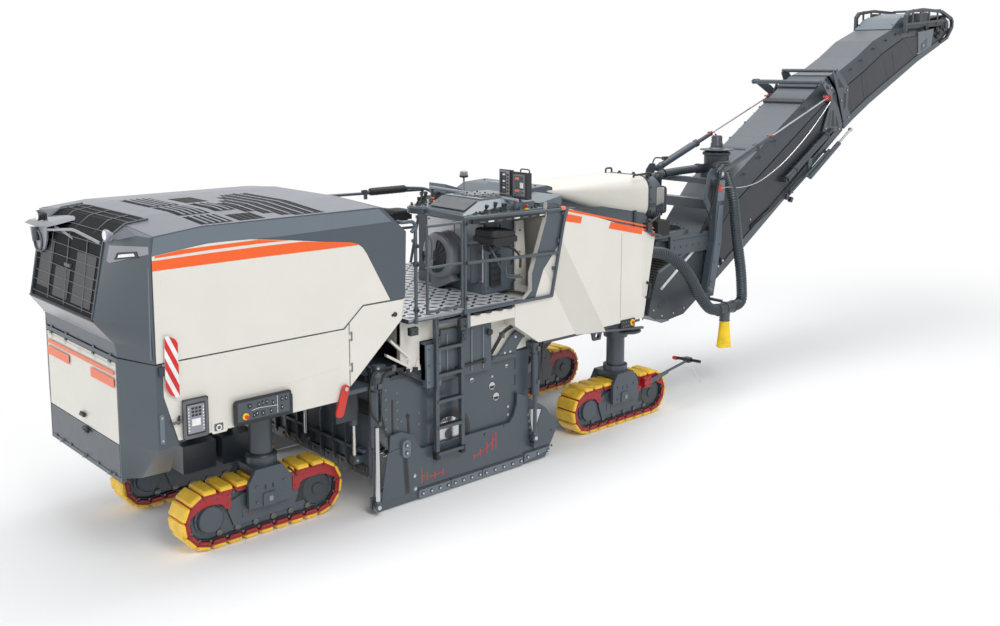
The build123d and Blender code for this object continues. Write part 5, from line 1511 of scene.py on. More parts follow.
def housing_details(name, side):
    """Bolts, holes, slots and the opening of the housing wall; all thin where the plate slides past."""
    y = side * wall_y
    shape = Shape()
    for outline in ([(1.395, 0.905), (1.42, 0.925), (1.448, 0.905), (1.438, 0.86), (1.45, 0.73),
            (1.434, 0.712), (1.416, 0.73), (1.412, 0.86)], rect(1.222, 1.244, 0.74, 1.1)):
        shape.side(outline, y - side * 0.001, y + side * 0.0025, "black_plastic")
    # The opening round the drive cover, drawn flat: a ring of painted shade and a black disc for the shadow
    # inside it.
    disc(shape, 1.976, y, drum_z, side, 0.272, 0.002, "dark_paint", 48)
    disc(shape, 1.976, y, drum_z, side, 0.24, 0.0028, "black_plastic", 48)
    shape.lathe((hub_x, y, drum_z), (0, side * 0.0055, 0), [(0.205, 0), (0.2, 0.4), (0.12, 0.9), (0.06, 1)],
        "bare_metal", 40)
    for a in around(14):
        disc(shape, hub_x + 0.172 * math.cos(a), y, drum_z + 0.172 * math.sin(a), side, 0.011, 0.0052,
            "cast_grey", 6)
    disc(shape, hub_x, y, drum_z, side, 0.05, 0.006, "cast_grey", 24)
    # Holes drawn flat, with painted light and shade inside each: a shaded ring, a bright disc and a black
    # patch over its lower half.
    for x, z, radius in ((2.558, 0.981, 0.05), (2.617, 0.85, 0.052), (2.273, 1.1, 0.03),
            (2.77, 1.16, 0.026)):
        disc(shape, x, y, z, side, radius, 0.0022, "dark_paint", 32)
        disc(shape, x, y, z, side, radius * 0.84, 0.0028, "bare_metal", 32)
        shape.side([(x - radius * 0.78, z), (x + radius * 0.78, z), (x + radius * 0.5, z - radius * 0.6),
            (x - radius * 0.5, z - radius * 0.6)], y, y + side * 0.0034, "black_plastic")
    small = [(2.79, 0.7), (2.79, 0.61), (2.56, 1.085), (1.56, 0.9), (1.56, 0.78), (1.34, 0.86)]
    small += [(1.15, 0.62 + 0.1 * i) for i in range(7)] + [(1.29, 0.8 + 0.09 * i) for i in range(5)]
    for x, z in small:
        disc(shape, x, y, z, side, 0.014, 0.0055, "bare_metal" if x > 2 else "slate_light", 6)
    # Slots drawn as strips of painted shade.
    for z in (0.56, 0.74, 0.92, 1.1):
        shape.side(rect(2.89, 2.905, z, z + 0.12), y, y + side * 0.003, "dark_paint")
    shape.side([(1.04, 1.27), (1.32, 1.27), (1.32, 1.296), (1.18, 1.34), (1.04, 1.4)], y - side * 0.05,
        y + side * 0.004, "slate_paint")
    shape.finish("housing_details_" + name, "chassis", 0, slot="slate_paint")

    # Curved arm that carries the front cylinder, tool box fronts and the cylinders' caps and hoses.
    arm = Shape()
    curve = [(2.53, 1.265), (2.84, 1.265), (2.862, 1.29), (2.89, 1.36), (2.96, 1.44), (3.05, 1.475),
        (3.19, 1.475), (3.19, 1.545), (3.05, 1.567), (2.91, 1.557), (2.79, 1.482), (2.68, 1.368),
        (2.6, 1.3)]
    arm.side(curve, side * 1.095, side * 1.128, "slate_paint")
    arm.side([(2.42, 1.255), (2.86, 1.255), (2.86, 1.3), (2.6, 1.31)], side * 1.06, side * 1.14,
        "slate_paint")
    for x, z in ((2.7, 1.33), (2.78, 1.33), (2.86, 1.48), (3.08, 1.52)):
        arm.bolt((x, side * 1.128, z), (0, side, 0), 0.016, 0.01, "bare_metal")
    for x in (plate_rear_rod, plate_front_rod):
        top = cylinders_box[1][2]
        rod_y = side * plate_rod_y
        arm.lathe((x, rod_y, top - 0.03), (0, 0, 0.07),
            [(0.05, 0), (0.054, 0.1), (0.054, 0.5), (0.03, 0.8), (0.026, 1)], "slate_paint", 28)
        arm.bar((x, rod_y - side * 0.05, top + 0.055), (x, rod_y + side * 0.035, top + 0.055), 0.03,
            "slate_paint", 20)
        arm.bar((x, rod_y - side * 0.052, top + 0.055), (x, rod_y + side * 0.042, top + 0.055), 0.013,
            "bare_metal")
        arm.ring((x, rod_y, 1.268), (0, 0, 1), 0.048, 0.007, "dark_paint")
        arm.block(x - 0.022, x + 0.022, rod_y + side * 0.04, rod_y + side * 0.066, 1.3, 1.35, "cast_grey")
        arm.block(x - 0.02, x + 0.02, rod_y + side * 0.04, rod_y + side * 0.062, 0.93, 0.97, "cast_grey")
        arm.tube([(x + 0.006, rod_y + side * 0.055, 0.96), (x + 0.012, rod_y + side * 0.062, 1.02),
            (x + 0.012, rod_y + side * 0.062, 1.2), (x, rod_y + side * 0.055, 1.3)], 0.007, "dark_paint", 8,
            0.03)
    arm.block(0.93, 1.11, side * 1.08, side * 1.16, 1.445, 1.5, "slate_paint")
    front = plate_front_rod
    hose(arm, across(side, [(2.52, 1.09, 1.3), (2.56, 1.13, 1.4), (2.68, 1.15, 1.57), (2.9, 1.17, 1.64),
        (front - 0.02, 1.2, 1.625), (front + 0.05, 1.225, 1.55), (front + 0.03, 1.235, 1.345)]))
    hose(arm, across(side, [(2.48, 1.1, 1.29), (2.52, 1.15, 1.41), (2.64, 1.17, 1.59), (2.88, 1.19, 1.672),
        (front - 0.01, 1.215, 1.655), (front + 0.08, 1.23, 1.56), (front + 0.065, 1.225, 1.2),
        (front + 0.02, 1.225, 0.96)]))
    hose(arm, across(side, [(1.56, 1.12, 1.21), (1.35, 1.15, 1.36), (1.2, 1.16, 1.465), (1.0, 1.215, 1.49),
        (0.9, 1.225, 1.46), (0.86, 1.225, 1.3), (0.88, 1.22, 1.06), (0.96, 1.235, 0.96)]))
    hose(arm, across(side, [(1.6, 1.11, 1.19), (1.38, 1.14, 1.34), (1.21, 1.15, 1.435), (1.06, 1.2, 1.44),
        (0.985, 1.235, 1.33)]))
    for x, z in ((2.64, 1.54), (1.2, 1.45)):
        arm.block(x - 0.025, x + 0.025, side * 1.135, side * 1.175, z - 0.03, z + 0.03, "cast_grey")
    arm.finish("plate_lift_fittings_" + name, "chassis", 0.002)

    box = Shape()
    y = side * 1.15
    box.side(rect(1.6, 1.785, 1.165, 1.61), side * 1.06, y + side * 0.03, "slate_light")
    box.side([(1.8, 1.2), (2.49, 1.195), (2.49, 1.7), (1.8, 1.73)], side * 1.06, y + side * 0.006,
        "slate_paint")
    for x in (1.87, 2.03, 2.2, 2.36):
        box.side(rect(x, x + 0.02, 1.23, 1.68), y + side * 0.004, y + side * 0.016, "slate_light")
    box.side([(1.99, 1.29), (2.4, 1.305), (2.4, 1.33), (1.99, 1.318)], y, y + side * 0.03, "black_plastic")
    for x in (2.02, 2.36):
        box.block(x, x + 0.03, y, y + side * 0.034, 1.285, 1.34, "dark_paint")
    box.lathe((2.445, y + side * 0.004, 1.61), (0, side * 0.045, 0),
        [(0.018, 0), (0.018, 0.4), (0.036, 0.5), (0.036, 0.9), (0.022, 1)], "black_plastic")
    for z in (1.225, 1.395, 1.565):
        box.bolt((1.625, y + side * 0.03, z), (0, side, 0), 0.01)
        box.bolt((1.76, y + side * 0.03, z), (0, side, 0), 0.01)
    # Cream inner wall with its stays, behind the ladder.
    box.side([(1.345, 1.48), (1.48, 1.35), (1.59, 1.34), (1.59, 1.86), (1.345, 1.86)], side * 1.02,
        side * 1.075, "cream_paint")
    for xa, za, xb, zb in ((1.15, 1.56, 1.42, 1.4), (1.2, 1.7, 1.42, 1.5)):
        box.side([(xa, za), (xb, zb), (xb, zb + 0.03), (xa, za + 0.03)], side * 1.075, side * 1.12,
            "cream_paint")
    for x in (1.445, 1.56):
        box.side([(x - 0.05, 1.345), (x + 0.03, 1.345), (x + 0.006, 1.47), (x - 0.006, 1.47)], side * 1.072,
            side * 1.095, "cream_paint")
    box.side([(1.2, 1.3), (1.59, 1.3), (1.59, 1.345), (1.23, 1.345)], side * 0.96, side * 1.09,
        "dark_paint")
    for x in (1.3, 1.4, 1.5):
        box.block(x, x + 0.05, side * 1.05, side * 1.1, 1.345, 1.385, "black_plastic")
    box.tube(across(side, [(1.69, 1.215, 1.88), (1.69, 1.232, 1.7), (1.69, 1.232, 1.15)]), 0.014,
        "slate_paint", 10, 0.03)
    # Dark angled guard ahead of the housing, below the curved arm.
    box.side([(2.93, 1.13), (3.02, 0.96), (3.23, 1.16), (3.23, 1.06), (3.02, 0.83), (2.93, 0.98)],
        side * 0.95, side * 1.03, "slate_light")
    box.block(3.102, 3.18, side * 0.6, side * 0.99, 0.62, 1.28, "black_rubber")
    box.finish("tool_box_details_" + name, "chassis")


def cutting_drum():
    """Drum tube with two opposed spirals of tool holders and picks, and throw-off paddles in the middle."""
    low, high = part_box("milling_drum")
    cx, cz = (low[0] + high[0]) / 2 - datum, (low[2] + high[2]) / 2
    reach = (high[2] - low[2]) / 2
    half = 1.0
    shape = Shape()
    shape.bar((cx, -half, cz), (cx, half, cz), reach - 0.085, "cast_grey", 56)
    shape.bar((cx, low[1], cz), (cx, high[1], cz), 0.158, "cast_grey", 40)
    for side in (-1, 1):
        shape.lathe((cx, side * half, cz), (0, side * 0.012, 0), [(reach - 0.09, 0), (reach - 0.14, 1)],
            "slate_paint", 56)
        for a in around(12):
            shape.bolt((cx + 0.3 * math.cos(a), side * (half + 0.01), cz + 0.3 * math.sin(a)), (0, side, 0),
                0.016, 0.012)
    count = 96
    for side in (-1, 1):
        for i in range(count):
            y = side * (half - 0.012 - 0.94 * i / count)
            angle = 2 * math.pi * (i * 3.0 / count * 2.5 + (i % 4) * 0.25) + (0.5 if side > 0 else 0)
            out, ahead = turned(angle)
            base = Vector((cx, y, cz)) + out * (reach - 0.088)
            corners = []
            for height, wide, long in ((0.0, 0.02, 0.046), (0.034, 0.018, 0.036), (0.05, 0.012, 0.02)):
                middle = base + out * height + ahead * height * 0.5
                corners.append([middle + ahead * long * u + Vector((0, wide * v, 0))
                    for u, v in ((-1, -1), (1, -1), (1, 1), (-1, 1))])
            shape.solid(corners, "slate_paint")
            tip = base + out * 0.04 + ahead * 0.03
            way = (out + ahead * 0.75).normalized() * 0.05
            shape.lathe(tip, way, [(0.011, 0), (0.015, 0.15), (0.011, 0.5), (0.0055, 0.98)], "bare_metal",
                10)
    for angle in around(6):
        out, ahead = turned(angle)
        base = Vector((cx, 0, cz)) + out * (reach - 0.088)
        shape.solid([[base + ahead * t + Vector((0, v * 0.05, 0))
            for t, v in ((-0.014, -1), (0.014, -1), (0.014, 1), (-0.014, 1))],
            [base + out * 0.068 + ahead * t + Vector((0, v * 0.05, 0))
            for t, v in ((-0.014, -1), (0.014, -1), (0.014, 1), (-0.014, 1))]], "cast_grey")
    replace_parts(shape.finish("cutting_drum", "drum", 0), "milling_drum")


def scraper_details():
    """Ribs, bolted wear segments, rods and eyes of the scraper behind the drum."""
    shape = Shape()
    for i in range(9):
        y = -0.92 + i * 0.23
        if abs(abs(y) - 0.9) < 0.06 or abs(y) < 0.05:
            continue
        shape.side([(0.982, 0.38), (0.93, 0.44), (0.93, 0.86), (0.982, 0.94)], y - 0.01, y + 0.01,
            "slate_paint")
    for i in range(8):
        y = -1.015 + i * 0.2545
        shape.block(0.958, 0.982, y, y + 0.245, 0.352, 0.455, "dark_paint")
        for step in (0.05, 0.19):
            shape.bolt((0.958, y + step, 0.405), (-1, 0, 0), 0.017, 0.012)
    shape.block(0.93, 0.982, -1.0, 1.0, 0.6, 0.63, "slate_paint")
    for y in (-0.9, 0.0, 0.9):
        shape.bar((0.9, y, 0.5), (0.9, y, 0.87), 0.0228, "chrome_rod", 20)
        shape.bar((0.9, y - 0.05, 0.52), (0.9, y + 0.05, 0.52), 0.034, "slate_paint", 20)
        shape.bar((0.9, y - 0.058, 0.52), (0.9, y + 0.058, 0.52), 0.015, "bare_metal")
    shape.finish("scraper_details", "scraper", 0.002)
    fixed = Shape()
    for y in (-0.9, 0.0, 0.9):
        fixed.ring((0.9, y, 0.965), (0, 0, 1), 0.047, 0.008, "dark_paint", 24)
        fixed.lathe((0.9, y, 1.287), (0, 0, 0.011), [(0.055, 0), (0.075, 0.5), (0.075, 1)], "slate_paint")
        hose(fixed, [(0.866, y + 0.03, 1.2), (0.84, y + 0.06, 1.21), (0.82, y + 0.08, 1.27)], 0.01)
        hose(fixed, [(0.866, y - 0.03, 0.99), (0.84, y - 0.07, 1.02), (0.825, y - 0.085, 1.27)], 0.01)
    # Frames, hose bundles and guards in the dark bay behind the housing.
    for y0, y1, x0, x1 in ((-1.04, -0.94, 0.6, 0.84), (0.94, 1.04, 0.6, 0.84)):
        fixed.block(x0, x1, y0, y1, 0.98, 1.296, "dark_paint")
    for k in range(5):
        y = -0.98 + k * 0.024
        hose(fixed, [(0.84, y, 1.29), (0.83 - 0.02 * k, y - 0.02, 1.22),
            (0.77 + 0.01 * k, y, 1.06 - 0.03 * k), (0.7, y + 0.03, 1.28)], 0.011)
    fixed.finish("scraper_lift_fittings", "chassis", 0.002)


def yard_lever():
    """Red handle below the right side panel, and its twin on the left."""
    shape = Shape()
    for side in (-1, 1):
        y = side * 1.262
        outline = []
        for cx, cz, radius, start in ((0.56, 1.395, 0.04, 20), (0.49, 1.175, 0.045, 200)):
            for i in range(9):
                a = math.radians(start + 180 * i / 8 - 35)
                outline.append((cx + radius * math.cos(a), cz + radius * math.sin(a)))
        shape.side(outline, y, y + side * 0.022, "lever_red")
        disc(shape, 0.56, y + side * 0.022, 1.395, side, 0.02, 0.012, "bare_metal", 20)
        shape.bar((0.56, side * 1.2, 1.395), (0.56, y, 1.395), 0.014, "cast_grey", 14)
        shape.block(0.52, 0.6, side * 1.18, side * 1.205, 1.345, 1.46, "dark_paint")
    shape.finish("side_levers", "chassis")


for side_name, side in (("right", -1), ("left", 1)):
    plate_details(side_name, side)
    housing_details(side_name, side)
cutting_drum()
scraper_details()
yard_lever()


# ---------------------------------------------------------------- discharge conveyor
wall_half = 0.45


def plate(shape, corners, inward, material):
    """Thin sheet on four corners, thickened inward."""
    inward = Vector(inward)
    shape.solid([[Vector(p) for p in corners], [Vector(p) + inward for p in corners]], material)


def boom(stations, flat, drop, name, body, node, belt_low):
    """Boxed conveyor: side walls in deep painted shade, bevelled shoulders in painted half shade, a top in
    painted light, and the belt below.
    """
    shape = Shape()
    for (la, ua), (lb, ub) in zip(stations, stations[1:]):
        (lax, laz), (uax, uaz), (lbx, lbz), (ubx, ubz) = la, ua, lb, ub
        down = Vector((uax - lax, 0, uaz - laz)).normalized() * drop
        down_b = Vector((ubx - lbx, 0, ubz - lbz)).normalized() * drop
        for side in (-1, 1):
            y = side * wall_half
            low_a, low_b = Vector((lax, y, laz)), Vector((lbx, y, lbz))
            knee_a, knee_b = Vector((uax, y, uaz)) - down, Vector((ubx, y, ubz)) - down_b
            top_a, top_b = Vector((uax, side * flat, uaz)), Vector((ubx, side * flat, ubz))
            # The walls, shoulders and top are all slate; they differ only by painted shade and light.
            plate(shape, [low_a, low_b, knee_b, knee_a], (0, -side * 0.028, 0), "slate_in_deep_shade")
            plate(shape, [knee_a, knee_b, top_b, top_a], -down * 0.1, "slate_in_half_shade")
            lip_a, lip_b = low_a + down * 0.5, low_b + down_b * 0.5
            plate(shape, [low_a, low_b, lip_b, lip_a], (0, side * 0.016, 0), "slate_paint")
        top = [Vector((uax, -flat, uaz)), Vector((ubx, -flat, ubz)), Vector((ubx, flat, ubz)),
            Vector((uax, flat, uaz))]
        plate(shape, top, -down * 0.1, "lit_boom_slate")
        middle = [Vector((x, y, z)) for x, y, z in ((lax, -0.42, laz), (lbx, -0.42, lbz), (lbx, 0.42, lbz),
            (lax, 0.42, laz))]
        for lift, material in ((belt_low, "black_rubber"), (belt_low + 0.7, "black_rubber")):
            plate(shape, [p + down * lift for p in middle], down * 0.1, material)
    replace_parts(shape.finish(name, body, 0.004), node)


boom([((7.02, 1.262), (7.0, 2.02)), ((7.35, 1.452), (7.252, 2.3)), ((7.95, 1.81), (7.64, 2.71)),
    ((9.0, 2.465), (8.7, 3.348)), ((10.48, 3.39), (10.18, 4.232))], 0.335, 0.24, "lower_boom", "lower_belt",
    "conveyor_lower", 0.18)
boom([((10.522, 3.412), (10.235, 4.246)), ((10.79, 3.56), (10.56, 4.33)), ((11.25, 3.79), (11.01, 4.53)),
    ((11.86, 4.06), (11.5, 4.79)), ((12.76, 4.46), (12.1, 4.995)), ((13.56, 4.76), (13.05, 5.08))], 0.335,
    0.22, "upper_boom", "upper_belt", "conveyor_upper", 0.18)


def on_lower_edge(x):
    """Height of the lower section's shoulder."""
    return 2.71 + (x - 7.64) * 0.6


def tail_trough():
    """Open tail under the drop point: walls, bed rollers, belt, scale bar and bottom guards."""
    shape = Shape()
    wall = [(5.88, 1.12), (6.14, 0.985), (6.62, 1.035), (7.03, 1.268), (7.01, 2.03), (6.88, 1.99),
        (6.4, 1.82), (6.06, 1.69), (5.97, 1.44)]
    for side in (-1, 1):
        y = side * wall_half
        # Walls in painted half shade, with a strip of painted light along their top edge.
        shape.side(wall, y, y - side * 0.028, "slate_in_half_shade")
        shape.side([(6.07, 1.665), (6.4, 1.79), (6.88, 1.96), (7.005, 1.995), (7.005, 2.03), (6.88, 1.99),
            (6.4, 1.82), (6.06, 1.69)], y - side * 0.002, y + side * 0.012, "slate_light")
        bar_y = y + side * 0.003
        shape.side([(6.115, 1.46), (6.145, 1.43), (6.83, 1.88), (6.8, 1.91)], bar_y - side * 0.004,
            bar_y + side * 0.006, "white")
        for x, z in ((6.15, 1.46), (6.475, 1.673), (6.795, 1.883)):
            shape.bolt((x, bar_y + side * 0.005, z), (0, side, 0), 0.009, 0.005, "black_plastic")
        shape.side([(6.02, 1.06), (6.3, 1.01), (6.3, 0.992), (6.14, 0.985), (6.03, 1.04)], y,
            y + side * 0.014, "slate_light")
        for x, z in ((5.985, 1.18), (6.16, 1.08), (6.4, 1.08), (6.62, 1.12), (6.85, 1.24)):
            shape.bolt((x, y, z), (0, side, 0), 0.014, 0.009, "bare_metal")
        shape.lathe((6.15, y - side * 0.004, 1.25), (0, side * 0.014, 0), [(0.085, 0), (0.075, 1)],
            "dark_paint", 32)
    shape.bar((6.15, -0.41, 1.25), (6.15, 0.41, 1.25), 0.12, "cast_grey", 32)
    shape.solid([[(6.15, y, 1.382), (6.98, y, 1.8), (6.985, y, 1.79), (6.156, y, 1.372)]
        for y in (-0.41, 0.41)], "black_rubber")
    # Bottom guards in deep painted shade.
    shape.side([(5.9, 1.11), (6.14, 0.99), (6.62, 1.04), (7.02, 1.27), (7.015, 1.285), (6.615, 1.056),
        (6.142, 1.008), (5.915, 1.124)], -0.424, 0.424, "slate_in_deep_shade")
    shape.side([(5.882, 1.12), (5.9, 1.112), (6.01, 1.492), (5.992, 1.498)], -0.424, 0.424, "slate_in_deep_shade")
    for i in range(14):
        x = 6.24 + i * 0.052
        shape.solid([[(x, y, 1.427 + i * 0.0262), (x + 0.014, y, 1.434 + i * 0.0262),
            (x + 0.012, y, 1.452 + i * 0.0262)] for y in (-0.36, 0.36)], "black_rubber")
    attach(shape.finish("tail_trough", "lower_belt", 0.004), "lower_belt")


fold_y = 0.51               # distance of the folding cylinders from the middle


def lower_fittings():
    """Shoulder bolts, cover ribs, hinge frame with its cross tube, and gaiters of the folding cylinders."""
    shape = Shape()
    for side in (-1, 1):
        way = (0.3 * -0.5, side * 0.75, 0.62)
        for x in (7.95, 8.32, 8.69, 9.06, 9.44):
            spot = Vector((x + 0.045, side * 0.398, on_lower_edge(x) - 0.036))
            shape.bar(spot, spot + Vector(way) * 0.012, 0.02, "black_plastic", 20)
        for x in (7.78, 8.13, 8.5, 8.87, 9.25, 9.62):
            spot = Vector((x, side * 0.345, on_lower_edge(x) - 0.002))
            shape.bolt(spot, (-0.4, 0, 0.9), 0.008, 0.004, "dark_paint")
        for x, z in ((9.7, 3.2), (9.8, 3.26), (8.9, 2.74), (8.1, 2.2)):
            shape.bolt((x, side * wall_half, z), (0, side, 0), 0.013, 0.01, "bare_metal")
        # Hinge frame plate with triangular windows.
        y0, y1 = side * 0.468, side * 0.484
        shape.side([(9.88, 3.395), (10.38, 3.38), (10.44, 3.48), (10.3, 3.76), (10.12, 3.9), (10.14, 4.06),
            (10.02, 4.12), (9.94, 3.98), (10.06, 3.8)], y0, y1, "slate_paint")
        shape.side([(10.12, 3.47), (10.21, 3.46), (10.17, 3.72), (10.12, 3.7)], y1, y1 + side * 0.002,
            "black_plastic")
        shape.side([(10.25, 3.46), (10.34, 3.46), (10.24, 3.64)], y1, y1 + side * 0.002, "black_plastic")
        shape.side([(10.01, 3.46), (10.08, 3.48), (10.09, 3.7), (10.04, 3.66)], y1, y1 + side * 0.002,
            "dark_paint")
        for x, z in ((9.95, 3.44), (10.33, 3.42), (10.06, 4.06)):
            disc(shape, x, y1, z, side, 0.022, 0.004, "dark_paint", 20)
            shape.bolt((x, y1 + side * 0.003, z), (0, side, 0), 0.014, 0.01, "bare_metal")
        arm = [(9.56, 4.12), (9.66, 4.11), (10.02, 3.88), (10.1, 3.96), (9.94, 4.09), (9.68, 4.195),
            (9.58, 4.19)]
        shape.solid([[(x, side * (0.48 + (10.1 - x) * 0.22), z) for x, z in arm],
            [(x, side * (0.496 + (10.1 - x) * 0.22), z) for x, z in arm]], "slate_paint")
        shape.side([(9.74, 4.105), (9.86, 4.03), (9.9, 4.06), (9.78, 4.12)], side * 0.56, side * 0.566,
            "black_plastic")
        shape.ball((9.61, side * 0.612, 4.15), 0.04, "slate_paint")
        shape.bar((8.905, side * fold_y, 2.735), (9.93, side * fold_y, 3.33), 0.046, "slate_in_half_shade", 24)
        shape.bar((9.9, side * fold_y, 3.312), (10.13, side * fold_y, 3.425), 0.024, "dark_paint", 18)
        for x, z in ((8.89, 2.727), (9.1, 2.848), (9.915, 3.321)):
            shape.bar((x, side * fold_y, z), (x + 0.034, side * fold_y, z + 0.02), 0.054, "dark_paint", 24)
        shape.block(8.84, 8.93, side * 0.448, side * 0.54, 2.69, 2.76, "dark_paint")
        for x, z in ((7.17, 1.54), (7.3, 1.62), (7.4, 1.69)):
            shape.bar((x, side * 0.448, z), (x, side * 0.5, z), 0.034, "dark_paint", 20)
            shape.bar((x, side * 0.498, z), (x, side * 0.512, z), 0.016, "bare_metal", 14)
        foot = Vector((9.0, side * 0.505, 2.5))
        shape.bar(foot, foot + Vector((1.05, 0, 0.61)), 0.02, "slate_paint", 14)
        for k in (0.05, 0.5, 0.95):
            spot = foot + Vector((1.05, 0, 0.61)) * k
            shape.block(spot.x - 0.03, spot.x + 0.03, side * 0.448, side * 0.52, spot.z - 0.02,
                spot.z + 0.02, "slate_paint")
        for x, z in ((8.93, 2.43), (9.04, 2.385)):
            shape.side([(x, z), (x + 0.05, z - 0.02), (x + 0.09, z + 0.05), (x + 0.03, z + 0.07)],
                side * 0.45, side * 0.5, "dark_paint")
    shape.bar((9.61, -0.625, 4.15), (9.61, 0.625, 4.15), 0.033, "slate_paint", 20)
    for x in (9.53, 9.9):
        z = on_lower_edge(x) + 0.02
        shape.solid([[(x - 0.035, y, z - 0.045), (x + 0.035, y, z), (x + 0.02, y, z + 0.035),
            (x - 0.05, y, z - 0.01)] for y in (-0.345, 0.345)], "dark_paint")
    shape.solid([[(8.4, y, on_lower_edge(8.4) + 0.002), (8.44, y, on_lower_edge(8.44) + 0.002),
        (8.43, y, on_lower_edge(8.44) + 0.012), (8.395, y, on_lower_edge(8.4) + 0.01)]
        for y in (-0.335, 0.335)], "slate_paint")
    # Foot bracket of the luffing stays and their shackles.
    for side in (-1, 1):
        shape.block(9.9, 9.99, side * 0.452, side * 0.52, 3.9, 3.96, "slate_paint")
        shape.bar((9.95, side * 0.495, 3.93), (9.95, side * 0.565, 3.93), 0.02, "lever_red")
        shape.bar((9.9, side * 0.5, 3.865), (9.9, side * 0.6, 3.865), 0.014, "cast_grey", 14)
        shape.ring((9.905, side * 0.53, 3.915), (0, 1, 0), 0.03, 0.01, "lever_red", 20)
    # Feeder plate and hoses along the right wall.
    hose(shape, [(8.1, -0.462, 2.1), (8.6, -0.466, 2.34), (9.3, -0.466, 2.78), (9.8, -0.466, 3.1),
        (10.2, -0.466, 3.36)], 0.009)
    hose(shape, [(8.1, -0.462, 2.07), (8.62, -0.466, 2.31), (9.32, -0.466, 2.75), (9.84, -0.466, 3.07)],
        0.009)
    shape.finish("lower_section_fittings", "lower_belt", 0.002, slot="slate_paint")


